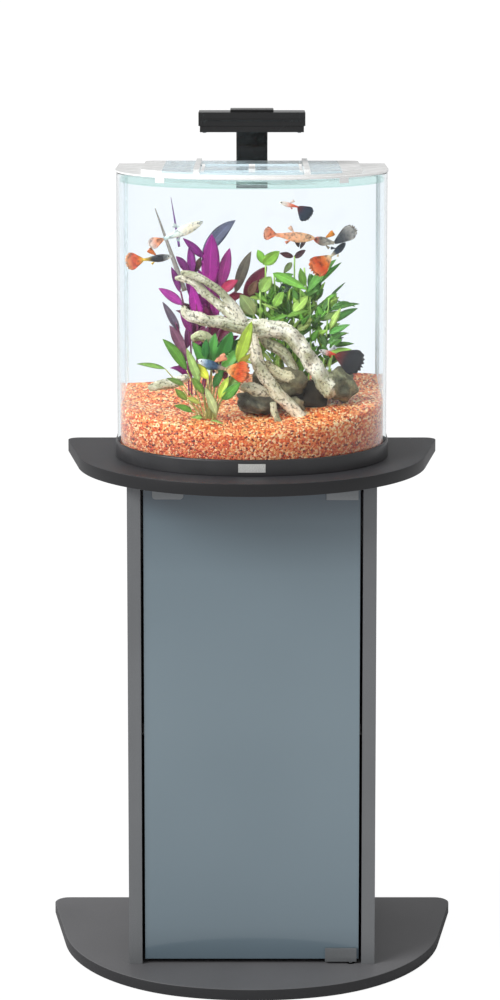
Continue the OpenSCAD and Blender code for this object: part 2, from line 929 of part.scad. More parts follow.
module driftwood() {
    color("#b9a892")
        for (limb = limbs, k = [0 : len(limb) - 2])
            hull() {
                a = limb[k];
                b = limb[k + 1];
                translate([a[0], tank_y - a[1], board_top + a[2]])
                    sphere(r = a[3], $fn = 10);
                translate([b[0], tank_y - b[1], board_top + b[2]])
                    sphere(r = b[3], $fn = 10);
            }
}

stones = [[10, 178, 88, 19], [52, 158, 106, 18], [84, 142, 88, 20], [124, 146, 102, 20]];

module root_stones() {
    color("#6d6055")
        for (s = stones)
            translate([s[0], tank_y - s[1], board_top + s[2]])
                sphere(r = s[3], $fn = 14);
}

// One lance-shaped leaf of length l and width w that stands up from its base point.
module leaf(l, w) {
    r = (l * l / 4 + w * w / 4) / w;
    rotate([90, 0, 0])
        linear_extrude(1.2)
            translate([0, l / 2])
                rotate(90)
                    intersection() {
                        translate([0, r - w / 2])
                            circle(r, $fn = 240);
                        translate([0, w / 2 - r])
                            circle(r, $fn = 240);
                    }
}

// Upright plant: a stem with leaves to both sides. The leaves stand one behind another.
module plant(x, back, low, high, count, leaf_l, leaf_w, lean) {
    rod_z(x, tank_y - back, board_top + low, board_top + high, 3);
    for (k = [0 : count - 1]) {
        side = k % 2 == 0 ? -1 : 1;
        z = low + (high - low) * (0.15 + 0.8 * k / count);
        translate([x, tank_y - back + 2.4 - (k % 3) * 1.8, board_top + z])
            rotate([0, side * lean, 0])
                leaf(leaf_l, leaf_w);
    }
}

module purple_plant() {
    color("#8a2f7d")
        union() {
            plant(-62, 75, 80, 285, 8, 85, 20, 38);
            plant(-100, 90, 80, 215, 6, 70, 18, 42);
        }
}

module stem_plant() {
    color("#6fae3f")
        union() {
            plant(35, 80, 82, 290, 8, 62, 16, 48);
            plant(80, 70, 84, 265, 8, 66, 13, 40);
            plant(125, 85, 82, 215, 6, 58, 10, 45);
        }
}

module front_plant() {
    color("#7fae45")
        union() {
            plant(-52, 205, 60, 130, 6, 70, 12, 48);
            plant(-78, 190, 62, 115, 5, 60, 11, 52);
        }
}

bottom_board();
top_board();
left_side_panel();
right_side_panel();
back_panel();
rear_rail();
shelf();
shelf_pins();
floor_glides();
cam_locks();
cam_bolts();
wood_dowels();
back_screws();
cable_grommet();
hinge_bushes();
latch_housing();
latch_spring();
latch_screws();
latch_plunger();
latch_magnet();
door_glass();
upper_hinge_clamp();
lower_hinge_clamp();
hinge_pins();
hinge_pads();
clamp_set_screws();
strike_clip();
tank_front_glass();
tank_back_glass();
tank_base_glass();
silicone_seams();
base_trim();
trim_plate();
foam_mat();
lid_frame();
lid_clips();
feeding_flap();
flap_pins();
lamp_cover();
lamp_base();
led_board();
led_chips();
lamp_diffuser();
lamp_arm();
lamp_saddle();
lamp_screws();
lamp_bracket();
lamp_hinge_pin();
bracket_pads();
dc_inlet();
bracket_screw();
gravel_bed();
driftwood();
root_stones();
purple_plant();
stem_plant();
front_plant();
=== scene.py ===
"""Looks of a bent-glass aquarium with its lid and lamp, on a fitted cabinet stand.

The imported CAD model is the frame. Boards, bent glass and trim are remade as smooth surfaces in
the same places, the planting and the gravel are grown inside the tank, and every other CAD node
keeps its mesh and gets a finish. Lengths are metres; MM turns millimetres into metres.
"""

import math

import bmesh
import bpy
import numpy as np
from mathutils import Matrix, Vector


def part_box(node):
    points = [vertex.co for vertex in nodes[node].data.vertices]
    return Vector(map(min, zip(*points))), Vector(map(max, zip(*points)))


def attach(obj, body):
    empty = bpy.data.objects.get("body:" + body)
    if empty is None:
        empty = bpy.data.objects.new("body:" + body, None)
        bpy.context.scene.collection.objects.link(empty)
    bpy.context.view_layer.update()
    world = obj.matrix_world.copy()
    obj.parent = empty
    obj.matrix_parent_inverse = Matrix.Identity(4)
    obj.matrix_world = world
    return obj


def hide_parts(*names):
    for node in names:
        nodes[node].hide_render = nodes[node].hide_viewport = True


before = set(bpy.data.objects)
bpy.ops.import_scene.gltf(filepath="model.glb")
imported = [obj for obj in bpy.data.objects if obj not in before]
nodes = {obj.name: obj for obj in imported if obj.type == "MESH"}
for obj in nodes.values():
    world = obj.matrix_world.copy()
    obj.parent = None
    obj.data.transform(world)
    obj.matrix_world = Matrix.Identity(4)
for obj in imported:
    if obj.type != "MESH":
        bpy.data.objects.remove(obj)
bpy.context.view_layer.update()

MM = 0.001
BODY = "stand_and_tank"
UP = np.array((0.0, 0.0, 1.0))
FRONT = np.array((0.0, -1.0, 0.0))

# ---- places taken from the frame ----

board_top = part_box("base_trim")[0].z
tank_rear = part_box("tank_back_glass")[1].y
tank_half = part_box("tank_front_glass")[1].x
tank_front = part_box("tank_front_glass")[0].y
tank_depth = tank_rear - tank_front
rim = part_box("tank_front_glass")[1].z
glass_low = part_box("tank_front_glass")[0].z
bed_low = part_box("gravel_bed")[0].z
trim_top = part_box("base_trim")[1].z
trim_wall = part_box("base_trim")[1].x - tank_half
glass_wall = 4 * MM
water_level = rim - 12 * MM

# A D-shaped outline: half width at the rear, depth, lean of the sides, radii of the bowed
# front, of the front corners and of the rear corners.
BOTTOM_D = (305.5 * MM, 356 * MM, math.radians(11.2), 372 * MM, 246 * MM, 20 * MM)
TOP_D = (279 * MM, 353.5 * MM, math.radians(10.4), 273 * MM, 246 * MM, 15 * MM)
TANK_D = (tank_half, tank_depth, 0.0, 250 * MM, 170 * MM, 0.0)


def in_tank(x, back, height):
    """A place in the tank from millimetres: x, distance from the rear glass, height on the board."""
    return np.array((x * MM, tank_rear - back * MM, board_top + height * MM))


def spots(rows):
    """Several places in the tank, each row (x, back, height, ...), as an array of points."""
    return np.array([in_tank(*row[:3]) for row in rows])


# ---- shapes ----


def arc(centre, radius, start, end, count):
    """Points on a circle from one angle to another."""
    angle = np.linspace(start, end, count)
    return np.stack([centre[0] + radius * np.cos(angle), centre[1] + radius * np.sin(angle)], 1)


def half_d(shape, inset, rear_inset, fine):
    """Right half of a D seen from above, rear edge on y = 0, from the rear corner to the front:
    rear arc, leaning side, corner arc tangent to side and bow, and half of the bowed front."""
    width, depth, lean, front_r, corner_r, rear_r = shape
    width, depth = width - inset / math.cos(lean), depth - inset
    front_r, corner_r = front_r - inset, corner_r - inset
    side = np.array((-math.sin(lean), -math.cos(lean)))
    inward = np.array((-math.cos(lean), math.sin(lean)))
    start = np.array((width, depth - front_r)) + corner_r * inward
    along = start @ side
    reach = -along + math.sqrt(along ** 2 - start @ start + (front_r - corner_r) ** 2)
    centre = np.array((width, 0.0)) + reach * side + corner_r * inward
    turn = math.atan2(centre[1] + depth - front_r, centre[0])
    if rear_r > 0:
        rear_x = width - (rear_r + rear_r * math.sin(lean)) / math.cos(lean)
        rear = arc((rear_x, -rear_r - rear_inset), rear_r, math.pi / 2, -lean, 8)
    else:
        rear = np.array([(width - rear_inset * math.tan(lean), -rear_inset)])
    corner = arc(centre, corner_r, -lean, turn, fine)
    sides = rear[-1] + (corner[0] - rear[-1]) * np.linspace(0, 1, fine // 2)[1:-1, None]
    bow = arc((0.0, front_r - depth), front_r, turn, -math.pi / 2, fine)
    return np.concatenate([rear, sides, corner, bow[1:]])


def d_line(shape, inset=0.0, rear_inset=0.0, fine=24):
    """The whole D from the right rear corner round the front to the left rear corner."""
    right = half_d(shape, inset, rear_inset, fine)
    return np.concatenate([right, (right * (-1, 1))[-2::-1]])


def evenly(line, count):
    """The same line with its points an equal distance apart."""
    run = np.concatenate([[0], np.cumsum(np.linalg.norm(np.diff(line, axis=0), axis=1))])
    at = np.linspace(0, run[-1], count)
    return np.stack([np.interp(at, run, line[:, k]) for k in range(line.shape[1])], 1)


def grid_faces(rows, cols, around=False):
    """Four-cornered faces of a grid of points; around joins the last column to the first."""
    r = np.arange(rows - 1)[:, None]
    c = np.arange(cols if around else cols - 1)[None, :]
    first = r * cols + c
    second = r * cols + (c + 1) % cols
    return np.stack([first, second, second + cols, first + cols], -1).reshape(-1, 4)


def fan_faces(first, cols, pole):
    """Triangles that close a ring of cols points, numbered from first, with a pole point."""
    ring = first + np.arange(cols)
    following = first + (np.arange(cols) + 1) % cols
    return np.stack([ring, following, np.full(cols, pole)], -1)


class Parts:
    """Surfaces gathered into one mesh, each point with a tint and a place on its surface."""

    def __init__(self):
        self.points, self.faces, self.tints, self.runs, self.count = [], [], [], [], 0

    def add(self, points, faces, tint=(1.0, 1.0, 1.0), run=None):
        """Adds one surface. tint is one colour or one for each point, run a pair for each point."""
        points = np.asarray(points, float).reshape(-1, 3)
        tint = np.broadcast_to(np.asarray(tint, float), (len(points), 3))
        self.points.append(points)
        self.tints.append(tint)
        self.runs.append(np.zeros((len(points), 2)) if run is None else run.reshape(-1, 2))
        for group in faces:
            self.faces += (np.asarray(group) + self.count).tolist()
        self.count += len(points)

    def piece(self, name, body, material, replaces=(), smooth=True):
        """Makes the mesh object, turns its faces outwards and has it ride on its body."""
        mesh = bpy.data.meshes.new(name)
        mesh.from_pydata(np.concatenate(self.points).tolist(), [], self.faces)
        skin = bmesh.new()
        skin.from_mesh(mesh)
        bmesh.ops.recalc_face_normals(skin, faces=skin.faces[:])
        skin.to_mesh(mesh)
        skin.free()
        mesh.polygons.foreach_set("use_smooth", [smooth] * len(mesh.polygons))
        tint = mesh.attributes.new("tint", "FLOAT_COLOR", "POINT")
        colours = np.concatenate(self.tints)
        colours = np.concatenate([colours, np.ones((len(colours), 1))], 1)
        tint.data.foreach_set("color", colours.astype(np.float32).ravel())
        corners = np.zeros(len(mesh.loops), np.int32)
        mesh.loops.foreach_get("vertex_index", corners)
        layer = mesh.uv_layers.new(name="run")
        layer.data.foreach_set("uv", np.concatenate(self.runs)[corners].astype(np.float32).ravel())
        mesh.update()
        made = bpy.data.objects.new(name, mesh)
        bpy.context.scene.collection.objects.link(made)
        made.data.materials.append(material)
        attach(made, body)
        if replaces:
            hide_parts(*replaces)
        return made


def closed_rings(parts, rings, tint=(1.0, 1.0, 1.0), run=None):
    """A closed skin over rings of points, rows from one end to the other, with a pole at each end."""
    rows, cols = rings.shape[:2]
    ends = np.stack([rings[0].mean(0), rings[-1].mean(0)])
    points = np.concatenate([rings.reshape(-1, 3), ends])
    sides = grid_faces(rows, cols, around=True)
    caps = [fan_faces(0, cols, rows * cols), fan_faces((rows - 1) * cols, cols, rows * cols + 1)]
    if run is not None:
        run = np.concatenate([run.reshape(-1, 2), run[0, :1], run[-1, :1]])
    if np.ndim(tint) == 3:
        tint = np.concatenate([tint.reshape(-1, 3), tint[0, :1], tint[-1, :1]])
    parts.add(points, [sides, *caps], tint, run)


def rounded_edge(thick, radius, steps=4):
    """Profile of a board's edge from the under side to the top: (inset, height) pairs."""
    angle = np.linspace(0, math.pi / 2, steps)
    low = np.stack([radius * (1 - np.sin(angle)), radius * (1 - np.cos(angle))], 1)
    high = np.stack([radius * (1 - np.cos(angle)), thick - radius * (1 - np.sin(angle))], 1)
    flat = np.array([(4 * radius, 0.0)])
    return np.concatenate([flat, low, high, flat + (0, thick)])


def d_slab(name, shape, rear, low, high, material, node):
    """A D-shaped board with rounded arrises: its edge profile carried round the outline."""
    rings = []
    for inset, height in rounded_edge(high - low, 0.9 * MM):
        line = d_line(shape, inset, inset, 40)
        rings.append(np.column_stack([line[:, 0], line[:, 1] + rear, np.full(len(line), low + height)]))
    parts = Parts()
    closed_rings(parts, np.array(rings))
    return parts.piece(name, BODY, material, [node])


def curve(points, count):
    """A smooth curve through points: each span is a cubic that leaves along its neighbours'
    chord, sampled an equal distance apart."""
    points = np.asarray(points, float)
    ends = np.concatenate([[2 * points[0] - points[1]], points, [2 * points[-1] - points[-2]]])
    t = np.linspace(0, 1, 12, endpoint=False)[None, :, None]
    a, b, c, d = (ends[k:len(ends) - 3 + k, None, :] for k in range(4))
    spans = 0.5 * (2 * b + (c - a) * t + (2 * a - 5 * b + 4 * c - d) * t ** 2
                   + (3 * b - a - 3 * c + d) * t ** 3)
    return evenly(np.concatenate([spans.reshape(-1, points.shape[1]), points[-1:]]), count)


def unit(vectors):
    """Vectors at length one."""
    return vectors / np.maximum(np.linalg.norm(vectors, axis=-1, keepdims=True), 1e-9)


def tube_rings(path, radius, sides, across=FRONT):
    """Rings round a path: at angle a a ring's point lies radius out along
    cos(a) of one normal and sin(a) of the other."""
    tangent = unit(np.gradient(path, axis=0))
    one = unit(np.cross(tangent, across))
    two = np.cross(tangent, one)
    angle = np.linspace(0, 2 * math.pi, sides, endpoint=False)
    radius = np.broadcast_to(radius, (len(path), sides))
    out = one[:, None] * np.cos(angle)[None, :, None] + two[:, None] * np.sin(angle)[None, :, None]
    return path[:, None] + radius[..., None] * out


def waves(seed, count, *places, low=1, high=6):
    """Smooth lumps between about -1 and 1: a sum of waves with seeded directions and phases."""
    draw = np.random.default_rng(seed)
    total = np.zeros(np.broadcast(*places).shape)
    for _ in range(count):
        pitch = draw.integers(low, high + 1, len(places)) * draw.choice([-1, 1], len(places))
        phase = draw.uniform(0, 2 * math.pi)
        total += np.sin(sum(p * place for p, place in zip(pitch, places)) + phase)
    return total / math.sqrt(count)


# ---- finishes ----


def colour(code):
    """A screen colour such as 'c0ffee' as a linear colour with alpha one."""
    parts = [int(code[k:k + 2], 16) / 255 for k in (0, 2, 4)]
    linear = [p / 12.92 if p < 0.04045 else ((p + 0.055) / 1.055) ** 2.4 for p in parts]
    return (*linear, 1.0)


def grey(level):
    """A linear grey of a level, with alpha one."""
    return (level, level, level, 1.0)


def add(tree, kind, inputs, **settings):
    """A shader node with its settings and its inputs, each a value or another node's output."""
    made = tree.nodes.new(kind)
    for name, value in settings.items():
        setattr(made, name, value)
    for name, value in inputs.items():
        if isinstance(value, bpy.types.NodeSocket):
            tree.links.new(value, made.inputs[name])
        else:
            made.inputs[name].default_value = value
    return made


def ramp(tree, fac, stops, smooth=True):
    """A colour ramp with stops of (place, colour)."""
    made = tree.nodes.new("ShaderNodeValToRGB")
    made.color_ramp.interpolation = "LINEAR" if smooth else "CONSTANT"
    band = made.color_ramp.elements
    band[0].position, band[0].color = stops[0]
    band[1].position, band[1].color = stops[-1]
    for place, shade in stops[1:-1]:
        band.new(place).color = shade
    tree.links.new(fac, made.inputs["Fac"])
    return made.outputs["Color"]


def blank(name, **sockets):
    """A new material, its node tree and its Principled shader with the given sockets set."""
    made = bpy.data.materials.new(name)
    made.use_nodes = True
    shader = made.node_tree.nodes["Principled BSDF"]
    for socket, value in sockets.items():
        shader.inputs[socket.replace("_", " ")].default_value = value
    return made, made.node_tree, shader


def object_place(tree, stretch=(1, 1, 1)):
    """The piece's own coordinates, stretched."""
    place = add(tree, "ShaderNodeTexCoord", {}).outputs["Object"]
    return add(tree, "ShaderNodeMapping", {"Vector": place, "Scale": stretch}).outputs["Vector"]


def noise(tree, place, scale, detail, rough=0.5):
    """Soft noise from 0 to 1."""
    return add(tree, "ShaderNodeTexNoise", {"Vector": place, "Scale": scale, "Detail": detail,
                                            "Roughness": rough}).outputs["Fac"]


def maths(tree, operation, *values):
    """A number worked out from others by one operation."""
    return add(tree, "ShaderNodeMath", dict(enumerate(values)), operation=operation).outputs["Value"]


def times(tree, one, other, share=1.0):
    """One colour multiplied by another, as strongly as share says."""
    return add(tree, "ShaderNodeMix", {0: share, 6: one, 7: other}, data_type="RGBA",
               blend_type="MULTIPLY").outputs[2]


def part_of(tree, vector, axis):
    """One of the three numbers of a vector."""
    return add(tree, "ShaderNodeSeparateXYZ", {"Vector": vector}).outputs[axis]


def own_tint(tree):
    """The colour that each point of a piece carries."""
    return add(tree, "ShaderNodeAttribute", {}, attribute_name="tint").outputs["Color"]


def own_run(tree):
    """The place that each point of a piece carries, across and along its surface."""
    return add(tree, "ShaderNodeUVMap", {}, uv_map="run").outputs["UV"]


def upward_share(tree):
    """How far a face looks up or down, from -1 to 1."""
    normal = add(tree, "ShaderNodeTexCoord", {}).outputs["Normal"]
    return part_of(tree, normal, "Z")


def blend(tree, share, first, second):
    """Two shaders mixed by share, from the first at 0 to the second at 1."""
    return add(tree, "ShaderNodeMixShader", {0: share, 1: first, 2: second}).outputs["Shader"]


def show(tree, surface):
    """Makes a shader the surface that the material shows."""
    tree.links.new(surface, tree.nodes["Material Output"].inputs["Surface"])


def gloss(tree, shader, value, span, low, high):
    """Roughness that runs over span as a value runs from low to high."""
    rough = add(tree, "ShaderNodeMapRange", {"Value": value, "From Min": low, "From Max": high,
                                             "To Min": span[0], "To Max": span[1]})
    tree.links.new(rough.outputs["Result"], shader.inputs["Roughness"])


def relief(tree, shader, height, depth, strength=1.0, edge=0.0):
    """Bumps of a real depth, on normals that round the edges by the edge radius."""
    inputs = {"Height": height, "Distance": depth, "Strength": strength}
    if edge:
        inputs["Normal"] = add(tree, "ShaderNodeBevel", {"Radius": edge}, samples=4).outputs["Normal"]
    bump = add(tree, "ShaderNodeBump", inputs)
    tree.links.new(bump.outputs["Normal"], shader.inputs["Normal"])


def grained(name, dark, light, grain, rough, depth, edge=0.0, stretch=(1, 1, 1), **sockets):
    """A finish of two near tones mixed by fine grain, with the same grain in gloss and relief."""
    made, tree, shader = blank(name, **sockets)
    place = object_place(tree, stretch)
    fine = noise(tree, place, grain, 5.0)
    broad = noise(tree, place, grain / 40, 2.0)
    half = maths(tree, "MULTIPLY", maths(tree, "ADD", fine, broad), 0.5)
    tree.links.new(ramp(tree, half, [(0.38, colour(dark)), (0.62, colour(light))]),
                   shader.inputs["Base Color"])
    gloss(tree, shader, half, rough, 0.35, 0.65)
    relief(tree, shader, fine, depth, 1.0, edge)
    return made


def melamine(name, face, edge_band):
    """Foil-faced board: fine speckled faces, and edge bands of their own tone on upright sides."""
    made, tree, shader = blank(name, Specular_IOR_Level=0.4)
    place = object_place(tree)
    fine = noise(tree, place, 900.0, 4.0)
    broad = noise(tree, place, 9.0, 2.0)
    speck = ramp(tree, fine, [(0.35, grey(0.86)), (0.65, grey(1.1))])
    drift = ramp(tree, broad, [(0.3, grey(0.95)), (0.7, grey(1.05))])
    upright = maths(tree, "ABSOLUTE", upward_share(tree))
    tone = ramp(tree, upright, [(0.4, colour(edge_band)), (0.8, colour(face))])
    tree.links.new(times(tree, times(tree, tone, speck), drift), shader.inputs["Base Color"])
    gloss(tree, shader, fine, (0.42, 0.6), 0.0, 1.0)
    relief(tree, shader, fine, 0.05 * MM, 1.0, 0.8 * MM)
    return made


def open_to_shadows(tree, shader, tint):
    """Lets light through to what is inside: shadow rays see a clear tint and not the glass."""
    clear = add(tree, "ShaderNodeBsdfTransparent", {"Color": tint})
    ray = add(tree, "ShaderNodeLightPath", {}).outputs["Is Shadow Ray"]
    show(tree, blend(tree, ray, shader.outputs["BSDF"], clear.outputs["BSDF"]))


def glass_finish():
    """Clear bent glass: faint smears in its gloss, its own tint where it is looked through
    squarely, a deeper one where it is seen edge on, and absorption inside. It bends light less
    than real glass, so that the planting stays clear through the bow."""
    made, tree, shader = blank("bent_tank_glass", Transmission_Weight=1.0, IOR=1.24)
    facing = add(tree, "ShaderNodeLayerWeight", {"Blend": 0.35}).outputs["Facing"]
    tints = [(0.25, (0.956, 0.978, 0.992, 1.0)), (0.95, (0.86, 0.92, 0.95, 1.0))]
    tree.links.new(ramp(tree, facing, tints), shader.inputs["Base Color"])
    smear = noise(tree, object_place(tree), 14.0, 3.0)
    gloss(tree, shader, smear, (0.0, 0.015), 0.3, 0.7)
    open_to_shadows(tree, shader, (0.96, 0.985, 0.99, 1.0))
    depth = add(tree, "ShaderNodeVolumeAbsorption", {"Color": (0.62, 0.86, 0.88, 1.0), "Density": 5.0})
    tree.links.new(depth.outputs["Volume"], tree.nodes["Material Output"].inputs["Volume"])
    return made


def lid_finish(name, ribs, pane_half):
    """Lid plastic: the panes are faintly blue and let half the light through; the rim, the
    flange and the ribs, which stand at x = ribs and mirrored, are milky."""
    rib_half = 4.5 * MM
    made, tree, shader = blank(name, Transmission_Weight=1.0, IOR=1.16)
    place = object_place(tree)
    smear = noise(tree, place, 60.0, 3.0)
    across = maths(tree, "ABSOLUTE", part_of(tree, place, "X"))
    outer = maths(tree, "GREATER_THAN", across, pane_half)
    low = maths(tree, "LESS_THAN", part_of(tree, place, "Z"), pane_floor)
    milky = maths(tree, "MAXIMUM", outer, low)
    for rib in ribs:
        near = maths(tree, "COMPARE", across, rib, rib_half)
        milky = maths(tree, "MAXIMUM", milky, near)
    tones = [(0.0, (0.84, 0.93, 0.97, 1)), (1.0, (0.98, 0.98, 0.97, 1))]
    tree.links.new(ramp(tree, milky, tones), shader.inputs["Base Color"])
    cloudy = add(tree, "ShaderNodeMapRange", {"Value": milky, "To Min": 0.5, "To Max": 0.04})
    tree.links.new(cloudy.outputs["Result"], shader.inputs["Transmission Weight"])
    gloss(tree, shader, smear, (0.08, 0.2), 0.3, 0.7)
    relief(tree, shader, smear, 0.03 * MM, 0.5, 0.7 * MM)
    open_to_shadows(tree, shader, (0.93, 0.96, 0.97, 1.0))
    return made


def water_finish():
    """Still water: clear with a trace of blue, and a surface that is a little green and mirrors
    more at low angles."""
    made, tree, shader = blank("still_water")
    tree.nodes.remove(shader)
    clear = add(tree, "ShaderNodeBsdfTransparent", {"Color": (0.985, 0.992, 1.0, 1.0)})
    ripple = noise(tree, object_place(tree), 22.0, 2.0)
    bump = add(tree, "ShaderNodeBump", {"Height": ripple, "Distance": 0.3 * MM})
    mirror = add(tree, "ShaderNodeBsdfAnisotropic", {"Color": (0.66, 0.84, 0.8, 1.0), "Roughness": 0.03,
                                                    "Normal": bump.outputs["Normal"]})
    level = maths(tree, "GREATER_THAN", upward_share(tree), 0.5)
    glance = add(tree, "ShaderNodeFresnel", {"IOR": 1.33}).outputs["Fac"]
    skin = add(tree, "ShaderNodeBsdfTransparent", {"Color": (0.74, 0.88, 0.85, 1.0)})
    through = blend(tree, level, clear.outputs["BSDF"], skin.outputs["BSDF"])
    show(tree, blend(tree, maths(tree, "MULTIPLY", level, glance), through, mirror.outputs["BSDF"]))
    return made


def gravel_finish():
    """Coated grains: each cell of a fine mosaic takes its own orange, rust, peach or white."""
    made, tree, shader = blank("orange_gravel", Roughness=0.45)
    place = object_place(tree)
    long_cells = add(tree, "ShaderNodeMapping", {"Vector": place, "Scale": (1.0, 0.45, 1.0)})
    cells = add(tree, "ShaderNodeTexVoronoi", {"Vector": long_cells.outputs["Vector"], "Scale": 400.0,
                                               "Randomness": 1.0})
    pick = add(tree, "ShaderNodeSeparateColor", {"Color": cells.outputs["Color"]}).outputs["Red"]
    shades = [(0.0, colour("7c2c10")), (0.08, colour("c0440f")), (0.24, colour("e4682a")),
              (0.46, colour("ee8f4c")), (0.66, colour("f3b878")), (0.84, colour("fae0b6"))]
    grain = ramp(tree, pick, shades, smooth=False)
    drift = noise(tree, place, 16.0, 3.0)
    warm = ramp(tree, drift, [(0.35, (0.96, 0.8, 0.68, 1)), (0.65, (1.0, 1.02, 0.98, 1))])
    # The point tint carries the painted shade of the gravel wall against the glass.
    toned = times(tree, times(tree, grain, warm), own_tint(tree))
    tree.links.new(toned, shader.inputs["Base Color"])
    dome = maths(tree, "SUBTRACT", 1.0, cells.outputs["Distance"])
    relief(tree, shader, dome, 1.3 * MM, 0.9)
    return made


def weathered_wood():
    """Old root wood: cream bark with grey-green lichen, dark pores and cracks along the limb."""
    made, tree, shader = blank("weathered_wood", Roughness=0.8)
    along = add(tree, "ShaderNodeMapping", {"Vector": own_run(tree), "Scale": (7.0, 26.0, 1.0)})
    streak = noise(tree, along.outputs["Vector"], 1.0, 6.0, 0.65)
    place = object_place(tree)
    bark = ramp(tree, streak, [(0.24, colour("7a6c54")), (0.36, colour("c3b698")),
                               (0.5, colour("e8dfc9")), (0.72, colour("f7f1e4"))])
    lichen = ramp(tree, noise(tree, place, 34.0, 4.0), [(0.42, grey(1)), (0.6, colour("a9b08c"))])
    pores = ramp(tree, noise(tree, place, 260.0, 5.0), [(0.36, colour("5c5346")), (0.47, grey(1))])
    toned = times(tree, times(tree, bark, lichen, 0.75), pores, 0.8)
    tree.links.new(times(tree, toned, own_tint(tree)), shader.inputs["Base Color"])
    relief(tree, shader, streak, 1.2 * MM, 0.8)
    return made


def leaf_finish():
    """Waxy leaves: the leaf's own tint, a paler midrib, side veins and mottling."""
    made, tree, shader = blank("waxy_leaf", Roughness=0.38, Specular_IOR_Level=0.4)
    run = own_run(tree)
    rib = maths(tree, "ABSOLUTE", part_of(tree, run, "X"))
    slant = maths(tree, "MULTIPLY_ADD", rib, -0.45, part_of(tree, run, "Y"))
    comb = maths(tree, "SINE", maths(tree, "MULTIPLY", slant, 62.0))
    mottle = noise(tree, object_place(tree), 120.0, 3.0)
    toned = own_tint(tree)
    for value, stops in ((rib, [(0.0, grey(1.5)), (0.1, grey(1)), (1.0, grey(0.86))]),
                         (comb, [(0.0, grey(0.94)), (0.9, grey(1.08))]),
                         (mottle, [(0.3, grey(0.8)), (0.7, grey(1.15))])):
        toned = times(tree, toned, ramp(tree, value, stops))
    tree.links.new(toned, shader.inputs["Base Color"])
    relief(tree, shader, comb, 0.12 * MM, 0.6)
    return made


def stone_finish():
    """Rough lava stone, brown-grey, from dark hollows to pale rises."""
    made, tree, shader = blank("rough_stone", Roughness=0.85)
    coarse = noise(tree, object_place(tree), 60.0, 7.0, 0.7)
    base = ramp(tree, coarse, [(0.3, colour("2e2a24")), (0.5, colour("6f6a58")), (0.7, colour("b3ab90"))])
    tree.links.new(times(tree, base, own_tint(tree)), shader.inputs["Base Color"])
    relief(tree, shader, coarse, 1.5 * MM, 1.0)
    return made


def fish_finish():
    """Wet scales: the fish's own tint, deepened, under dark speckles, with streaks along the
    fins' rays and a fine scale pattern."""
    made, tree, shader = blank("fish_scales", Roughness=0.42, Coat_Weight=0.15, Specular_IOR_Level=0.35)
    place = object_place(tree)
    tint = add(tree, "ShaderNodeGamma", {"Color": own_tint(tree), "Gamma": 1.12}).outputs["Color"]
    speckles = [(0.36, (0.32, 0.34, 0.38, 1)), (0.45, grey(1)), (0.64, (1.2, 1.15, 1.08, 1))]
    tint = times(tree, tint, ramp(tree, noise(tree, place, 210.0, 2.0), speckles), 0.75)
    across = part_of(tree, own_run(tree), "X")
    rays = maths(tree, "SINE", maths(tree, "MULTIPLY", across, 34.0))
    tint = times(tree, tint, ramp(tree, rays, [(0.0, grey(1)), (0.95, (0.62, 0.58, 0.56, 1))]), 0.8)
    rows = add(tree, "ShaderNodeTexVoronoi", {"Vector": place, "Scale": 700.0}).outputs["Distance"]
    shade = ramp(tree, rows, [(0.0, grey(1.1)), (0.6, grey(0.82))])
    tree.links.new(times(tree, tint, shade), shader.inputs["Base Color"])
    relief(tree, shader, rows, 0.1 * MM, 0.5)
    return made


def door_finish():
    """Blue-grey glass lacquered on its back: a soft drift of tone under a polished face, with painted shade
    at its head, under the top board's overhang, and at its foot, where the base board shades it and is
    reflected."""
    made, tree, shader = blank("lacquered_door_glass", Coat_Weight=0.6, Coat_Roughness=0.03)
    place = object_place(tree)
    cloud = noise(tree, place, 2.2, 2.0)
    tone = ramp(tree, cloud, [(0.3, colour("6b7c85")), (0.7, colour("75868f"))])
    low, high = (corner.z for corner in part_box("door_glass"))
    share = add(tree, "ShaderNodeMapRange", {"Value": part_of(tree, place, "Z"), "From Min": low,
                                             "From Max": high})
    # Painted shade down the door: darkest at the head under the top board, darker at the foot by the base
    # board, a touch lighter in the middle.
    painted_shade = ramp(tree, share.outputs["Result"], [(0.0, (0.7, 0.72, 0.75, 1)), (0.07, (0.9, 0.91, 0.92, 1)),
                                                (0.2, (0.98, 0.98, 0.98, 1)), (0.5, (1.05, 1.04, 1.03, 1)),
                                                (0.82, (1.0, 1.0, 1.0, 1)), (0.93, (0.72, 0.74, 0.76, 1)),
                                                (0.985, (0.36, 0.38, 0.42, 1))])
    tree.links.new(times(tree, tone, painted_shade), shader.inputs["Base Color"])
    gloss(tree, shader, cloud, (0.12, 0.2), 0.0, 1.0)
    relief(tree, shader, cloud, 0.02 * MM, 0.2, 0.8 * MM)
    return made


glass = glass_finish()
PANE_SINK, PANE_THICK = 4 * MM, 3 * MM
lid_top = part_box("lid_frame")[1].z
pane_floor = lid_top - PANE_SINK - PANE_THICK
lid_plastic = lid_finish("clear_lid_plastic", (77 * MM,), 126 * MM)
flap_plastic = lid_finish("clear_flap_plastic", (0.0, 71 * MM), 80 * MM)
# The base and top boards are one melamine: the base board's lighter tones and the top board's darker tones
# are painted light and shade.
board_base = melamine("base_board_melamine_painted_lighter", "666668", "242426")
board_upper = melamine("top_board_melamine_painted_darker", "3c3c3f", "1c1c1e")
panel_face = melamine("panel_melamine", "4f5052", "6e7072")
dark_inside = grained("painted_fibreboard", "3b3b3d", "454547", 500.0, (0.55, 0.7), 0.05 * MM)
trim_black = grained("moulded_trim_black", "2e2e30", "38383a", 900.0, (0.3, 0.42), 0.03 * MM, 0.8 * MM)
lamp_black = grained("satin_lamp_black", "111112", "161617", 1100.0, (0.2, 0.3), 0.01 * MM, 1.3 * MM)

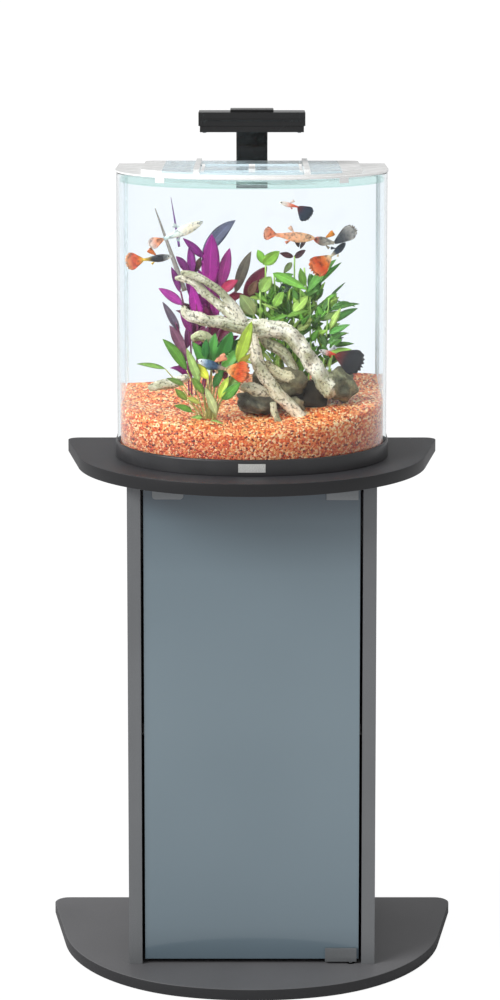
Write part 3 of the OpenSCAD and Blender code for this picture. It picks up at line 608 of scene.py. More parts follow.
FINISHES = {
    panel_face: ("left_side_panel", "right_side_panel", "rear_rail", "shelf"),
    dark_inside: ("back_panel",),
    grained("bare_beech", "a8763f", "c99a63", 60.0, (0.5, 0.65), 0.1 * MM, 0.3 * MM, (1, 1, 0.1)):
        ("wood_dowels",),
    grained("zinc_plate", "9a9da0", "b9bcbe", 300.0, (0.25, 0.4), 0.01 * MM, 0.3 * MM, Metallic=1.0):
        ("cam_locks", "cam_bolts", "back_screws", "latch_screws", "latch_spring", "shelf_pins",
         "hinge_pins", "clamp_set_screws", "flap_pins", "lamp_screws", "lamp_hinge_pin"),
    grained("satin_clamp_metal", "747779", "85888a", 260.0, (0.3, 0.42), 0.02 * MM, 0.6 * MM, (1, 1, 12),
            Metallic=0.5):
        ("upper_hinge_clamp", "lower_hinge_clamp", "strike_clip"),
    grained("grey_felt", "4a4844", "6b6862", 1800.0, (0.9, 1.0), 0.3 * MM): ("floor_glides",),
    grained("cable_grommet_black", "1b1b1c", "232325", 900.0, (0.4, 0.55), 0.03 * MM, 0.6 * MM):
        ("cable_grommet", "latch_housing", "dc_inlet"),
    grained("black_rubber", "1e1e1f", "2a2a2b", 1200.0, (0.7, 0.85), 0.05 * MM):
        ("hinge_pads", "bracket_pads"),
    grained("natural_nylon", "cfcfc9", "dededa", 400.0, (0.4, 0.55), 0.02 * MM):
        ("hinge_bushes", "latch_plunger"),
    grained("dark_nickel", "3c3c40", "4a4a4e", 300.0, (0.3, 0.4), 0.01 * MM, Metallic=1.0): ("latch_magnet",),
    grained("clear_silicone", "cfd8d9", "dde5e5", 300.0, (0.25, 0.4), 0.05 * MM): ("silicone_seams",),
    grained("levelling_foam", "3c3c3e", "5a5a5c", 1400.0, (0.9, 1.0), 0.4 * MM): ("foam_mat",),
    grained("pale_plate", "bdbdba", "d6d6d3", 700.0, (0.2, 0.32), 0.02 * MM, 0.5 * MM): ("trim_plate",),
    grained("solder_mask_white", "d9dcd6", "e6e8e3", 900.0, (0.35, 0.5), 0.02 * MM): ("led_board",),
    grained("yellow_phosphor", "e8c95c", "f2dc86", 900.0, (0.3, 0.45), 0.02 * MM): ("led_chips",),
    grained("frosted_diffuser", "e3e7e8", "f2f5f5", 800.0, (0.4, 0.55), 0.02 * MM, 0.4 * MM):
        ("lamp_diffuser",),
    door_finish(): ("door_glass",),
    glass: ("tank_back_glass", "tank_base_glass"),
    lid_plastic: ("lid_frame", "lid_clips"),
    flap_plastic: ("feeding_flap",),
    lamp_black: ("lamp_cover", "lamp_base", "lamp_arm", "lamp_saddle", "lamp_bracket", "bracket_screw"),
}
for finish, names in FINISHES.items():
    for name in names:
        nodes[name].data.materials.clear()
        nodes[name].data.materials.append(finish)

# ---- boards, bent glass and trim ----

BOTTOM_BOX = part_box("bottom_board")
TOP_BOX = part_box("top_board")
d_slab("bottom_board_faced", BOTTOM_D, BOTTOM_BOX[1].y, BOTTOM_BOX[0].z, BOTTOM_BOX[1].z, board_base,
       "bottom_board")
d_slab("top_board_faced", TOP_D, TOP_BOX[1].y, TOP_BOX[0].z, TOP_BOX[1].z, board_upper, "top_board")


def tank_line(inset, height, rear_inset=0.0, fine=40):
    """The tank's outline at a height, inset from the outer face of the glass."""
    line = d_line(TANK_D, inset, rear_inset, fine)
    return np.column_stack([line[:, 0], line[:, 1] + tank_rear, np.full(len(line), height)])


def bent_glass():
    """The bent front and sides: a wall section with ground, rounded edges carried round the D."""
    radius = glass_wall / 2
    angle = np.linspace(0, math.pi, 9)
    over = np.stack([radius - radius * np.cos(angle), rim - radius * 0.5 * (1 - np.sin(angle))], 1)
    down = np.array([(0.0, rim - 3 * MM), (0.0, rim - 5 * MM), (0.0, glass_low + 3 * MM),
                     (0.0, glass_low + 1 * MM), (0.0, glass_low)])
    inner = down + (glass_wall, 0.0)
    section = np.concatenate([over, inner, down[::-1]])
    lines = np.array([tank_line(inset, height) for inset, height in section])
    parts = Parts()
    closed_rings(parts, lines.transpose(1, 0, 2))
    return parts.piece("bent_front_glass", BODY, glass, ["tank_front_glass"])


def base_band():
    """The black band round the tank's foot: a section with a rounded lip carried round the D."""
    radius = trim_wall
    angle = np.linspace(0, math.pi / 2, 6)
    lip = np.stack([radius * (1 - np.cos(angle)) - radius, trim_top - radius * (1 - np.sin(angle))], 1)
    section = np.concatenate([[(-radius, board_top), (-radius, board_top + 1 * MM)], lip,
                              [(0.0, board_top + 3 * MM), (12 * MM, board_top + 3 * MM),
                               (12 * MM, board_top)]])
    lines = np.array([tank_line(inset, height, inset) for inset, height in section])
    parts = Parts()
    faces = grid_faces(len(section), lines.shape[1], around=True)
    last = (len(section) - 1) * lines.shape[1]
    close = np.array([[last + k, last + (k + 1) % lines.shape[1], (k + 1) % lines.shape[1], k]
                      for k in range(lines.shape[1])])
    parts.add(lines, [faces, close])
    return parts.piece("base_trim_band", BODY, trim_black, ["base_trim"])


bent_glass()
base_band()


def bed_height(x, back):
    """Height of the gravel above the board: banked to the rear, higher at the right and
    heaped against the front corners; x and back are in millimetres."""
    side = x / 191.0
    away = np.clip(back / 282.0, 0, 1)
    slope = 100 - 44 * away ** 0.9 + 7 * side * (1 - away)
    return slope + side ** 2 * (34 * away ** 2 - 6) + 1.5 * waves(5, 9, x / 60, back / 60, low=1, high=3)


def grain_domes(x, y, size, seed):
    """Rounded grains about jittered points: 1 at a grain's middle and 0 at its edge."""
    col, row = np.floor(x / size), np.floor(y / size)
    nearest = np.full(x.shape, 9.0)
    for shift_x in (-1, 0, 1):
        for shift_y in (-1, 0, 1):
            cx, cy = col + shift_x, row + shift_y
            mix = np.sin(cx * 127.1 + cy * 311.7 + seed) * 43758.5453
            jitter = mix - np.floor(mix)
            other = np.floor(mix * 7.31) * 0.137
            other = other - np.floor(other)
            nearest = np.minimum(nearest, np.hypot(x / size - cx - jitter, y / size - cy - other))
    return np.sqrt(np.clip(1 - nearest ** 2, 0, 1))


def gravel():
    """The bed as rings: up the wall against the glass, then inwards over the top to a middle
    point, with grains raised on both."""
    around, wall_rows, top_rows = 560, 42, 92
    wall_grain, wall_bump = 3.0, 1.1
    top_grain, top_bump, top_sink = 3.2, 1.3, 1.0
    point_step = 1.9
    outline = evenly(d_line(TANK_D, glass_wall + 0.6 * MM, glass_wall + 1.2 * MM, 60), around + 1)
    rear_run = evenly(np.stack([outline[-1], outline[0]]), 200)[1:-1]
    outline = evenly(np.concatenate([outline, rear_run]), around)
    middle = np.array((0.0, -0.13))
    inward = unit(middle - outline)
    run = np.linspace(0, around * point_step, around, endpoint=False)
    rings = []
    tints = []
    edge_height = board_top + bed_height(outline[:, 0] / MM, -outline[:, 1] / MM) * MM
    for k in range(wall_rows):
        share = k / (wall_rows - 1)
        height = bed_low + (edge_height - 1.5 * MM - bed_low) * share
        dome = grain_domes(run, (height - bed_low) / MM, wall_grain, 3.1)
        line = outline + inward * (1 - dome[:, None]) * wall_bump * MM
        rings.append(np.column_stack([line[:, 0], line[:, 1] + tank_rear, height]))
        # Painted shade: the gravel wall seen through the glass is darker and redder towards the board.
        shade = 0.5 + 0.46 * share ** 1.2
        tint = shade * np.array((1.0, 0.66 + 0.3 * share, 0.56 + 0.36 * share))
        tints.append(np.tile(tint, (around, 1)))
    for k in range(top_rows):
        share = (k + 0.6) / (top_rows + 0.6)
        line = outline + (middle - outline) * share
        x, back = line[:, 0] / MM, -line[:, 1] / MM
        height = bed_height(x, back) + top_bump * grain_domes(x, back, top_grain, 8.8) - top_sink
        rings.append(np.column_stack([line[:, 0], line[:, 1] + tank_rear, board_top + height * MM]))
        tints.append(np.ones((around, 3)))
    parts = Parts()
    closed_rings(parts, np.array(rings), np.array(tints))
    return parts.piece("gravel_heap", BODY, gravel_finish(), ["gravel_bed"])


gravel()


def water():
    """The water as a thin-skinned body: a wall just inside the glass, and a surface that curls
    up where it meets the glass."""
    gap = glass_wall + 0.4 * MM
    rings = [tank_line(gap + 2 * MM, bed_low, gap, 20), tank_line(gap, bed_low, gap, 20),
             tank_line(gap, bed_low + 2 * MM, gap, 20), tank_line(gap, water_level - 3 * MM, gap, 20),
             tank_line(gap, water_level + 0.8 * MM, gap, 20),
             tank_line(gap + 0.8 * MM, water_level + 0.2 * MM, gap + 0.8 * MM, 20),
             tank_line(gap + 3 * MM, water_level, gap + 3 * MM, 20)]
    parts = Parts()
    closed_rings(parts, np.array(rings))
    return parts.piece("still_water_body", BODY, water_finish())


water()

# ---- wood and stones ----


def limb(parts, rows, seed, tint=(1.0, 1.0, 1.0), lumps=0.16):
    """A limb through rows of (x, back, height, radius): rings whose radius swells by smooth
    lumps and long ridges, with broken ends."""
    path = curve(np.column_stack([spots(rows), [row[3] * MM for row in rows]]), max(14, 7 * len(rows)))
    sides = 30
    angle = np.linspace(0, 2 * math.pi, sides, endpoint=False)[None, :]
    run = np.linspace(0, 1, len(path))[:, None] * len(rows)
    swell = 1 + lumps * waves(seed, 9, angle, run * 1.3, low=1, high=3) * 0.7
    swell += 0.06 * waves(seed + 1, 7, angle, run * 3.0, low=3, high=7)
    radius = path[:, 3:4] * swell
    radius[0] *= 0.55
    radius[-1] *= 0.55
    rings = tube_rings(path[:, :3], radius, sides)
    length = np.cumsum(np.concatenate([[0], np.linalg.norm(np.diff(path[:, :3], axis=0), axis=1)]))
    place = np.stack(np.broadcast_arrays(length[:, None] * 6 + seed, angle / 6.283 * 0.6), -1)
    closed_rings(parts, rings, tint, place)


def driftwood():
    """Root wood that arches from the upper left to the lower right, with its side limbs."""
    parts = Parts()
    limb(parts, [(-110, 152, 262, 3), (-98, 150, 261, 5.5), (-84, 150, 256, 6), (-64, 150, 238, 6),
                 (-44, 152, 221, 6.5), (-24, 154, 204, 7), (-6, 152, 190, 8)], 11)
    limb(parts, [(-102, 158, 271, 3), (-84, 158, 267, 5), (-62, 157, 256, 5.5), (-42, 156, 240, 6),
                 (-24, 155, 218, 6.5), (-10, 154, 197, 6)], 12)
    limb(parts, [(-98, 166, 224, 3.5), (-94, 166, 213, 7), (-74, 165, 205, 8.5), (-46, 163, 200, 8.5),
                 (-28, 160, 194, 9), (-4, 154, 188, 10.5)], 13)
    limb(parts, [(-12, 152, 190, 9), (4, 150, 190, 13), (26, 150, 188, 13), (48, 150, 184, 12.5),
                 (66, 152, 168, 12), (82, 154, 145, 12), (98, 156, 122, 12.5), (110, 158, 103, 14),
                 (114, 160, 90, 9)], 14)
    limb(parts, [(0, 158, 182, 9), (2, 166, 166, 9.5), (8, 176, 145, 9.5), (16, 186, 128, 9),
                 (32, 192, 107, 10), (52, 194, 86, 9), (70, 196, 68, 8), (76, 197, 60, 5)], 15,
         (1.0, 0.95, 0.9))
    limb(parts, [(14, 148, 178, 6), (24, 146, 166, 7.5), (40, 146, 158, 8), (54, 148, 142, 7.5),
                 (62, 150, 126, 6)], 16, (0.85, 0.85, 0.8))
    limb(parts, [(-86, 172, 176, 5), (-72, 172, 182, 8), (-56, 170, 172, 7), (-44, 168, 160, 5)], 17,
         (0.72, 0.78, 0.6))
    limb(parts, [(-16, 190, 110, 5), (-4, 192, 110, 8), (12, 192, 104, 8.5), (28, 190, 100, 6)], 18,
         (0.85, 0.85, 0.78))
    limb(parts, [(30, 206, 92, 4.5), (31, 209, 80, 5), (36, 212, 68, 4.5), (42, 214, 54, 4)], 19,
         (0.8, 0.8, 0.72))
    limb(parts, [(-148, 168, 106, 4), (-132, 168, 109, 7), (-112, 166, 113, 7.5), (-90, 164, 121, 5)], 20)
    limb(parts, [(16, 166, 140, 7), (34, 170, 128, 9), (52, 172, 120, 9.5), (64, 172, 116, 6)], 21,
         (0.8, 0.76, 0.6))
    return parts.piece("root_wood", BODY, weathered_wood(), ["driftwood"])


def boulder(parts, centre, size, seed, tint):
    """A stone: a globe of unequal radii pushed in and out by smooth lumps."""
    rows, cols = 22, 34
    fall = np.linspace(0.06, math.pi - 0.06, rows)[:, None]
    turn = np.linspace(0, 2 * math.pi, cols, endpoint=False)[None, :]
    ball = np.stack([np.sin(fall) * np.cos(turn), np.sin(fall) * np.sin(turn),
                     np.cos(fall) * np.ones_like(turn)], -1)
    lump = 1 + 0.13 * waves(seed, 10, ball[..., 0] * 2, ball[..., 1] * 2, ball[..., 2] * 2, low=1, high=3)
    rings = in_tank(*centre) + ball * lump[..., None] * np.array(size) * MM
    closed_rings(parts, rings, tint)


def stones():
    """The stones that the wood stands on; the near-black one under its right end is painted shade standing in
    for a dark hollow there.
    """
    parts = Parts()
    boulder(parts, (10, 178, 88), (30, 24, 17), 31, (0.5, 0.5, 0.47))
    boulder(parts, (52, 158, 112), (26, 22, 20), 32, (0.9, 0.85, 0.65))
    # Painted shade: this near-black stone stands for the dark hollow under the wood's right end.
    boulder(parts, (84, 142, 88), (26, 22, 24), 33, (0.16, 0.14, 0.12))
    boulder(parts, (124, 146, 106), (25, 24, 22), 34, (0.72, 0.75, 0.6))
    boulder(parts, (60, 184, 82), (14, 12, 12), 35, (0.8, 0.75, 0.62))
    boulder(parts, (18, 160, 120), (17, 16, 22), 36, (0.62, 0.62, 0.5))
    return parts.piece("foot_stones", BODY, stone_finish(), ["root_stones"])


driftwood()
stones()

# ---- planting ----


def blade(parts, base, tip, width, tint, arch=0.0, fold=0.25, facing=FRONT, shape=None, rows=8,
          across=5, ruffle=0.0, ragged=0.0):
    """A leaf or fin from base to tip. Its midrib is a straight run plus arch upwards as 4t(1-t),
    its half width goes as the sine of pi t^0.8 or as shape says, its sides rise by fold and
    ripple by ruffle, its end reaches out by ragged (1 - u^2 + 0.4 sin 19u), and its under side
    lies a little behind, so the skin is closed."""
    t = np.linspace(0, 1, rows)[:, None]
    base, tip = np.asarray(base, float), np.asarray(tip, float)
    rib = base + (tip - base) * t + UP * arch * 4 * t * (1 - t)
    tangent = unit(np.gradient(rib, axis=0))
    side = unit(np.cross(tangent, facing))
    normal = np.cross(side, tangent)
    half = np.sin(math.pi * t ** 0.8) ** 0.8 if shape is None else np.interp(t, *shape)
    half = np.maximum(half * width / 2, 0.3 * MM)
    front = np.linspace(-1, 1, across)
    u = np.concatenate([front, front[-2:0:-1]])[None, :]
    skin = np.concatenate([np.ones(across), -np.ones(across - 2)])[None, :]
    lift = fold * np.abs(u) * half + ruffle * np.abs(u) * np.sin(t * 11 + u * 5)
    lift = lift + skin * 0.25 * MM * (1 - u ** 2)
    rings = rib[:, None] + side[:, None] * (u * half)[..., None] + normal[:, None] * lift[..., None]
    reach = ragged * t ** 3 * (1 - u ** 2 + 0.4 * np.sin(19 * u))
    rings = rings + tangent[:, None] * reach[..., None]
    run = np.stack(np.broadcast_arrays(u, t), -1)
    closed_rings(parts, rings, tint, run)


def stem(parts, points, radius, tint):
    """A thin round stem on a smooth curve through points."""
    closed_rings(parts, tube_rings(curve(points, 14), radius * MM, 6), tint)


def shade_of(code):
    """A screen colour as three linear numbers."""
    return np.array(colour(code)[:3])


# Leaves that make a plant's outline: base x and height, tip x and height, width, distance from
# the rear glass, all in millimetres, then the leaf's colour.
PURPLE_LEAVES = [
    (-62, 236, -58, 321, 27, 96, "b32d9c"), (-46, 240, -32, 299, 18, 92, "b53b96"),
    (-72, 285, -24, 338, 21, 80, "5f6179"), (-24, 232, -1, 294, 16, 84, "6d6557"),
    (-45, 236, -20, 254, 16, 100, "b3264f"), (-70, 284, -100, 314, 12, 88, "9c3496"),
    (-87, 256, -90, 306, 13, 90, "a23a9b"), (-92, 262, -110, 288, 12, 94, "93398c"),
    (-105, 234, -117, 272, 10, 90, "8f3a8c"), (-101, 216, -136, 240, 14, 96, "b0389a"),
    (-106, 176, -130, 221, 12, 90, "84768a"), (-96, 142, -120, 186, 17, 94, "7d5169"),
    (-76, 190, -88, 245, 20, 86, "b42a9e"), (-65, 194, -72, 248, 19, 82, "ad2596"),
    (-52, 198, -57, 242, 17, 88, "a8248d"), (-71, 162, -44, 190, 19, 86, "7d1c4d"),
    (-52, 158, -27, 187, 17, 82, "6f1a40"), (-86, 150, -68, 186, 15, 90, "8a2f63"),
    (-82, 262, -74, 285, 10, 84, "6a4f4b"), (-95, 150, -88, 196, 13, 84, "8b4a80"),
    (-90, 130, -113, 158, 12, 92, "78406b"), (-40, 200, -22, 236, 15, 80, "8c2358"),
    (-82, 212, -98, 262, 13, 80, "9b3390"), (-60, 226, -78, 268, 15, 84, "8e2a83"),
    (-78, 130, -60, 160, 15, 92, "74283f"), (-88, 176, -104, 206, 12, 96, "a03a93"),
    (-50, 222, -44, 268, 14, 78, "86307c"), (-38, 222, -12, 232, 12, 90, "96274a"),
]
GREEN_LEAVES = [
    (16, 276, 40, 296, 19, 104, "9bd24f"), (17, 277, 8, 297, 12, 100, "8ac446"),
    (13, 236, 28, 258, 20, 108, "93b552"), (4, 203, -17, 234, 24, 110, "a8bd7c"),
    (-10, 222, 22, 272, 24, 92, "6d1232"), (-4, 230, 8, 254, 13, 98, "7b5a45"),
    (60, 286, 40, 292, 9, 92, "5a3038"), (62, 284, 78, 296, 9, 92, "4d2d33"),
    (58, 278, 46, 262, 9, 94, "7a8a52"), (68, 300, 62, 318, 7, 92, "3d2b30"),
    (70, 298, 80, 314, 6, 92, "43302f"), (30, 264, 80, 240, 15, 108, "86c550"),
    (34, 252, 60, 262, 12, 104, "6aa83f"), (40, 232, 62, 254, 14, 96, "33502f"),
    (32, 214, 46, 236, 15, 108, "9dce55"), (80, 234, 122, 284, 13, 104, "6fb04a"),
    (86, 240, 130, 279, 9, 100, "4f9036"), (112, 226, 136, 248, 4, 96, "4c7a3a"),
    (112, 208, 156, 219, 8, 100, "5b9140"), (114, 190, 154, 211, 11, 104, "4f8a38"),
    (112, 174, 142, 190, 10, 104, "5a9a3f"), (110, 160, 136, 176, 10, 104, "6aa04a"),
    (60, 208, 82, 230, 16, 108, "b3d763"), (66, 180, 88, 198, 15, 110, "7f8f3c"),
    (96, 230, 86, 262, 12, 96, "5fa040"), (20, 190, 52, 204, 10, 110, "79b543"),
    (50, 200, 84, 208, 8, 112, "8cc04c"), (76, 244, 70, 272, 12, 100, "82b84a"),
    (104, 196, 126, 208, 10, 108, "86a758"), (36, 176, 70, 180, 9, 112, "6da83c"),
]
FRONT_LEAVES = [
    (-123, 136, -163, 143, 7, 186, "7fa84a"), (-92, 138, -125, 184, 15, 208, "6ea83c"),
    (-74, 120, -92, 170, 13, 212, "a7c46c"), (-61, 126, -82, 146, 14, 216, "cfd03c"),
    (-58, 136, -84, 176, 18, 200, "4f9433"), (-46, 150, -28, 192, 24, 198, "3c8a34"),
    (-56, 144, -52, 188, 17, 194, "4a8f35"), (-42, 134, -14, 166, 19, 202, "5c9c3a"),
    (-20, 148, 0, 208, 19, 204, "a9c23f"), (-22, 140, -2, 160, 12, 206, "c4c848"),
    (-46, 98, -33, 128, 12, 214, "b9cc3e"), (-42, 96, -16, 122, 16, 212, "5fa23a"),
    (-50, 76, -66, 115, 13, 220, "c5cf8c"), (-84, 80, -109, 90, 9, 220, "6fa43a"),
    (-92, 96, -108, 114, 10, 216, "8fb24a"), (-74, 92, -92, 100, 9, 220, "b9c45a"),
    (-60, 66, -36, 60, 9, 222, "84aa4e"), (-70, 72, -90, 66, 8, 222, "79a142"),
    (-96, 116, -120, 128, 8, 208, "93b860"), (-68, 104, -84, 130, 11, 210, "7fae48"),
    (-34, 112, -12, 132, 12, 208, "8cb548"), (-54, 112, -40, 142, 12, 206, "3f8030"),
    (-66, 150, -64, 182, 13, 196, "2f7430"), (-36, 160, -12, 180, 14, 196, "2f6e2a"),
]


def outline_leaves(parts, rows, seed, spread=0.35):
    """The leaves of a list, each turned a little its own way."""
    draw = np.random.default_rng(seed)
    for x0, h0, x1, h1, width, back, code in rows:
        base = in_tank(x0, back, h0)
        tip = in_tank(x1, back + draw.uniform(-10, 14), h1)
        facing = unit(FRONT + draw.uniform(-spread, spread, 3))
        blade(parts, base, tip, width * MM, shade_of(code), arch=draw.uniform(0.01, 0.08) *
              np.linalg.norm(tip - base), fold=draw.uniform(0.1, 0.4), facing=facing, rows=12, across=7,
              ruffle=0.5 * MM)


def thicket(parts, seed, count, low, high, tones, length, width, lean):
    """A thicket of small leaves: bases drawn in a box from low to high, tips up and outwards."""
    draw = np.random.default_rng(seed)
    low, high = np.array(low, float), np.array(high, float)
    shades = [shade_of(code) for code in tones]
    for _ in range(count):
        place = draw.uniform(low, high)
        deep = (place[1] - low[1]) / (high[1] - low[1])
        reach = draw.uniform(*length)
        tilt = draw.uniform(-1.1, 1.1) + lean * (place[0] - (low[0] + high[0]) / 2) / (high[0] - low[0])
        step = np.array((math.sin(tilt), draw.uniform(-0.2, 0.5), abs(math.cos(tilt)) * 0.8 + 0.1))
        end = place + step * reach
        # Painted shade: leaves towards the rear of the thicket are darker, those at its front lighter.
        shade = shades[draw.integers(len(shades))] * (0.72 + 0.5 * deep)
        facing = unit(FRONT + draw.uniform(-0.6, 0.6, 3))
        blade(parts, in_tank(*place), in_tank(*end), draw.uniform(*width) * MM, shade,
              arch=draw.uniform(0, 0.12) * reach * MM, facing=facing, rows=6, across=4)


def purple_plant():
    """A red-leaved stem plant: magenta lances on dark stems, two thin blades reaching up."""
    parts = Parts()
    outline_leaves(parts, PURPLE_LEAVES, 41)
    for x0, x1, top, back in ((-70, -60, 262, 86), (-74, -46, 250, 84), (-82, -84, 266, 88),
                              (-88, -104, 236, 90), (-92, -112, 190, 92), (-66, -24, 236, 82)):
        points = spots([(x0, back, 82), ((x0 * 2 + x1) / 3 + 3, back, top * 0.5 + 50), (x1, back, top)])
        stem(parts, points, 1.3, shade_of("6b2a50"))
    thin = [(0, 0.3, 1.0), (1.0, 1.0, 0.2)]
    blade(parts, in_tank(-98, 92, 236), in_tank(-141, 84, 356), 7 * MM, shade_of("a39c94"), 0.0, 0.1,
          shape=thin, rows=14)
    blade(parts, in_tank(-106, 86, 300), in_tank(-118, 80, 372), 3.4 * MM, shade_of("7d4f93"), 0.0, 0.1,
          shape=thin, rows=12)
    thicket(parts, 42, 34, (-96, 66, 96), (-34, 84, 215), ("7a2268", "5d1a45", "8f2a80", "4c1a30"),
            (22, 40), (9, 15), 0.6)
    return parts.piece("magenta_lance_plant", BODY, leaves, ["purple_plant"])


def stem_plant():
    """Green stem plants: round and lance leaves in tiers on pale stems, dense low down."""
    parts = Parts()
    thicket(parts, 51, 190, (6, 62, 104), (118, 104, 222),
            ("4f7f2e", "66a238", "86bb48", "a3cf5a", "bcdc74", "45692e"), (20, 42), (5, 12), 1.2)
    thicket(parts, 53, 60, (12, 60, 190), (104, 100, 236), ("74ae42", "93c552", "b2d766", "5b8b3c"),
            (16, 34), (4.5, 10), 1.3)
    outline_leaves(parts, GREEN_LEAVES, 52)
    for x0, x1, top, back in ((14, 20, 284, 100), (8, 12, 240, 104), (40, 32, 262, 98), (56, 62, 288, 92),
                              (70, 70, 250, 100), (82, 84, 246, 98), (98, 112, 226, 98), (90, 76, 270, 94),
                              (104, 124, 190, 100), (4, 2, 206, 108)):
        points = spots([(x0, back, 84), ((x0 + x1) / 2 + 2, back, (84 + top) / 2), (x1, back, top)])
        stem(parts, points, 1.2, shade_of("9cbf62"))
    blade(parts, in_tank(112, 98, 205), in_tank(150, 100, 214), 8 * MM, shade_of("5b9140"), 9 * MM)
    return parts.piece("green_stem_plant", BODY, leaves, ["stem_plant"])


def front_plant():
    """A low rosette of yellow-green leaves on thin brown stalks, in front of the wood."""
    parts = Parts()
    outline_leaves(parts, FRONT_LEAVES, 61)
    crown = (-60, 214, 56)
    for x0, h0, _, _, _, back, _ in FRONT_LEAVES:
        halfway = ((x0 + crown[0]) / 2, (back + crown[1]) / 2, (h0 + crown[2]) / 2 + 4)
        points = spots([(crown[0] + 0.12 * (x0 - crown[0]), crown[1], crown[2]), halfway, (x0, back, h0)])
        stem(parts, points, 0.8, shade_of("8d8a4a"))
    return parts.piece("yellow_green_rosette", BODY, leaves, ["front_plant"])


leaves = leaf_finish()
purple_plant()
stem_plant()
front_plant()

# ---- fish ----

FIN = [(0, 0.12, 0.7, 0.9, 1.0), (0.16, 0.34, 0.94, 1.0, 0.9)]


def fish(name, nose, root, back, deep, tones, tail, tail_tones, dorsal=None):
    """A guppy: oval sections carried from nose to tail root, a ruffled fan tail, side and back
    fins, and eyes. nose, root and tail are (x, height) in millimetres; tones run nose to root."""
    parts = Parts()
    rows, cols = 22, 16
    t = np.linspace(0.0, 1.0, rows)
    start, end = in_tank(nose[0], back, nose[1]), in_tank(root[0], back, root[1])
    axis = unit(end - start)
    upward = unit(np.cross(FRONT, axis))
    upward = upward if upward[2] > 0 else -upward
    half = np.interp(t, (0, 0.06, 0.16, 0.35, 0.5, 0.7, 0.88, 1), (0.12, 0.42, 0.72, 0.98, 1, 0.7, 0.4, 0.34))
    half = half * deep / 2 * MM
    angle = np.linspace(0, 2 * math.pi, cols, endpoint=False)
    middle = start + (end - start) * t[:, None] - upward * (half * 0.12 * np.sin(math.pi * t))[:, None]
    rings = (middle[:, None] + FRONT * (0.55 * half[:, None] * np.cos(angle))[..., None]
             + upward * (half[:, None] * np.sin(angle))[..., None])
    shades = np.array([shade_of(code) for code in tones])
    at = np.linspace(0, 1, len(shades))
    body = np.stack([np.interp(t, at, shades[:, k]) for k in range(3)], -1)
    belly = 1 + 0.25 * np.clip(-np.sin(angle), 0, 1)[None, :, None]
    closed_rings(parts, rings, np.clip(body[:, None] * belly, 0, 1))
    far = in_tank(tail[0], back, tail[1])
    fan_tints = np.array([shade_of(code) for code in tail_tones])
    ray = np.linspace(0, 1, 12)
    shade = np.stack([np.interp(ray, np.linspace(0, 1, len(fan_tints)), fan_tints[:, k])
                      for k in range(3)], -1)
    shade = np.repeat(shade[:, None], 40, 1)
    blade(parts, end, end + (far - end) * 0.86, tail[2] * MM, shade, 0.0, 0.0, shape=FIN, rows=12, across=21,
          ruffle=0.9 * MM, ragged=0.2 * np.linalg.norm(far - end))
    if dorsal:
        spot = start + (end - start) * 0.55 + upward * deep * 0.4 * MM
        blade(parts, spot, spot + (axis * 0.8 + upward * 0.8) * dorsal[0] * MM, dorsal[0] * 0.7 * MM,
              shade_of(dorsal[1]), shape=FIN, fold=0.0, rows=8, ruffle=0.3 * MM)
    low = start + (end - start) * 0.62 - upward * deep * 0.42 * MM
    blade(parts, low, low + (axis * 0.8 - upward * 0.5) * deep * 0.55 * MM, deep * 0.3 * MM,
          shades[-1], shape=FIN, fold=0.0)
    for sign in (-1, 1):
        eye = start + (end - start) * 0.12 + upward * deep * 0.08 * MM + FRONT * sign * deep * 0.19 * MM
        fall = np.linspace(0.2, math.pi - 0.2, 6)[:, None]
        turn = np.linspace(0, 2 * math.pi, 10, endpoint=False)[None, :]
        ball = np.stack([np.sin(fall) * np.cos(turn), np.sin(fall) * np.sin(turn),
                         np.cos(fall) + 0 * turn], -1) * 1.0 * MM
        closed_rings(parts, eye + ball, (0.01, 0.01, 0.01))
    return parts.piece(name, BODY, scales)


scales = fish_finish()
fish("guppy_white", (-70, 343), (-126, 318), 150, 15, ("f4f1e4", "f6ead2", "e9efe6", "c6d8d6"),
     (-146, 310, 17), ("f0b48c", "ee9a70", "f7e8e0"), (9, "e3ecea"))
fish("guppy_black_orange", (-114, 293), (-155, 288), 148, 11, ("f1f1ea", "2b3036", "232a33", "e8c23c"),
     (-178, 285, 26), ("f5cf3e", "ec7026", "dd4e1a", "f0a25a"), (12, "d97a33"))
fish("guppy_navy_fan", (39, 371), (66, 364), 150, 7, ("f2ece0", "f4dfd2", "ef8060", "e0492f"),
     (82, 350, 25), ("7a2b2f", "2c3b52", "33404f"), (6, "f2ded2"))
fish("guppy_peach", (90, 320), (34, 325), 158, 15, ("f0c49c", "f4bd94", "f5b48e", "f2a27c"),
     (18, 328, 20), ("f4a27e", "f08a62", "f6b394"), (9, "f6cdb4"))
fish("guppy_silver", (88, 318), (118, 312), 148, 13, ("d8532e", "8b8176", "b9b3a5", "a9a18f"),
     (146, 332, 22), ("26323f", "5a5d60", "c9c4bd"), (12, "f09a2c"))
fish("guppy_blue_red", (134, 312), (113, 292), 142, 10, ("43505a", "27333f", "1f3a52", "f4e3c0"),
     (88, 272, 32), ("fbecc4", "f48a3a", "e0500f", "f0905a"), (6, "4b5a66"))
fish("guppy_white_blue", (-76, 153), (-36, 140), 216, 13, ("f3f3f0", "5b7c96", "2c4a66", "e9c79c"),
     (-6, 135, 31), ("fbe7a6", "f59440", "e2540f", "f08a50"), (16, "f0a27c"))
fish("guppy_black_fan", (95, 164), (119, 158), 196, 8, ("d9d4c9", "bcb8b0", "e0583a", "b9452f"),
     (153, 143, 38), ("8c2f2a", "23262e", "14161c"), (10, "cfd2cf"))

# ---- room, light and camera ----


def seen_directly(tree):
    """1 for what the camera sees, also through glass, and 0 for what only lights the scene."""
    rays = add(tree, "ShaderNodeLightPath", {})
    return maths(tree, "MAXIMUM", rays.outputs["Is Camera Ray"], rays.outputs["Is Transmission Ray"])


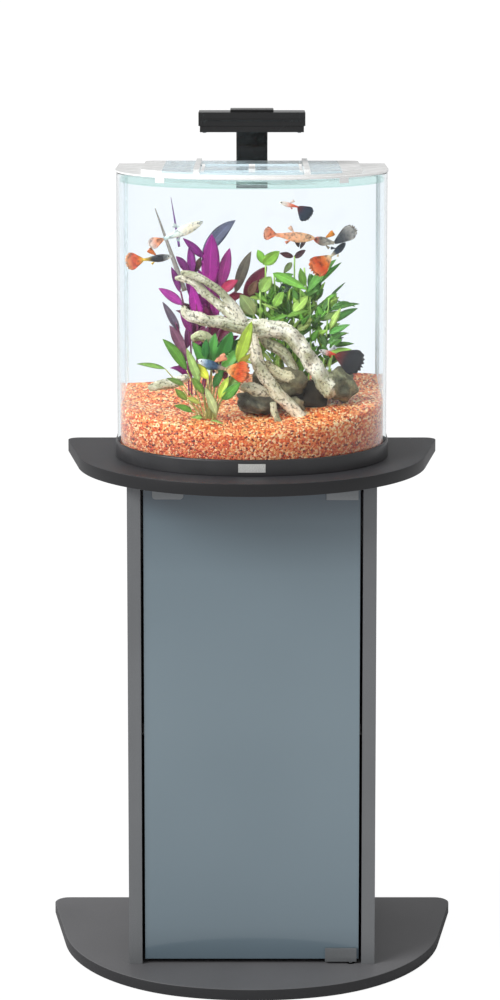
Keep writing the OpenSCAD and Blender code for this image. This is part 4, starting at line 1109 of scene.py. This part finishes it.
def studio():
    """A pale floor that carries on past the horizon, an even white room and one soft key light."""
    world = bpy.data.worlds.new("white_room")
    bpy.context.scene.world = world
    world.use_nodes = True
    tree = world.node_tree
    plain = tree.nodes["Background"]
    plain.inputs["Strength"].default_value = ROOM_LIGHT
    plain.inputs["Color"].default_value = grey(1)
    seen = add(tree, "ShaderNodeBackground", {"Color": grey(1), "Strength": 1.06})
    mixed = blend(tree, seen_directly(tree), plain.outputs["Background"], seen.outputs["Background"])
    tree.links.new(mixed, tree.nodes["World Output"].inputs["Surface"])

    sheet = bpy.data.meshes.new("pale_floor")
    reach = 300.0
    sheet.from_pydata([(-reach, -reach, 0), (reach, -reach, 0), (reach, reach, 0), (-reach, reach, 0)],
                      [], [(0, 1, 2, 3)])
    floor = bpy.data.objects.new("pale_floor", sheet)
    bpy.context.scene.collection.objects.link(floor)
    made, tree, shader = blank("pale_floor", Roughness=0.9, Specular_IOR_Level=0.0,
                               Base_Color=(0.8, 0.8, 0.81, 1.0))
    pale = add(tree, "ShaderNodeEmission", {"Color": grey(1), "Strength": 1.08})
    share = maths(tree, "MULTIPLY", seen_directly(tree), 0.9)
    show(tree, blend(tree, share, shader.outputs["BSDF"], pale.outputs["Emission"]))
    floor.data.materials.append(made)

    sun = bpy.data.lights.new("key", "SUN")
    sun.energy = KEY_LIGHT
    sun.angle = math.radians(30)
    key = bpy.data.objects.new("key", sun)
    key.rotation_euler = (math.radians(52), 0, math.radians(-58))
    bpy.context.scene.collection.objects.link(key)


def camera():
    """A long lens a little above the tank's rim, looking slightly down, with a rising front."""
    lens = bpy.data.cameras.new("camera")
    lens.sensor_width = 36.0
    lens.lens = 89.91
    lens.shift_x = -0.0019
    lens.shift_y = -0.25
    lens.clip_end = 1000.0
    seen_by = bpy.data.objects.new("camera", lens)
    seen_by.location = (0.0, -3.5392, 1.4222)
    seen_by.rotation_euler = (math.radians(90 - 6.1716), 0.0, 0.0)
    bpy.context.scene.collection.objects.link(seen_by)
    bpy.context.scene.camera = seen_by
    bpy.context.scene.view_settings.view_transform = "Standard"


ROOM_LIGHT = 0.52
KEY_LIGHT = 2.3
studio()
camera()
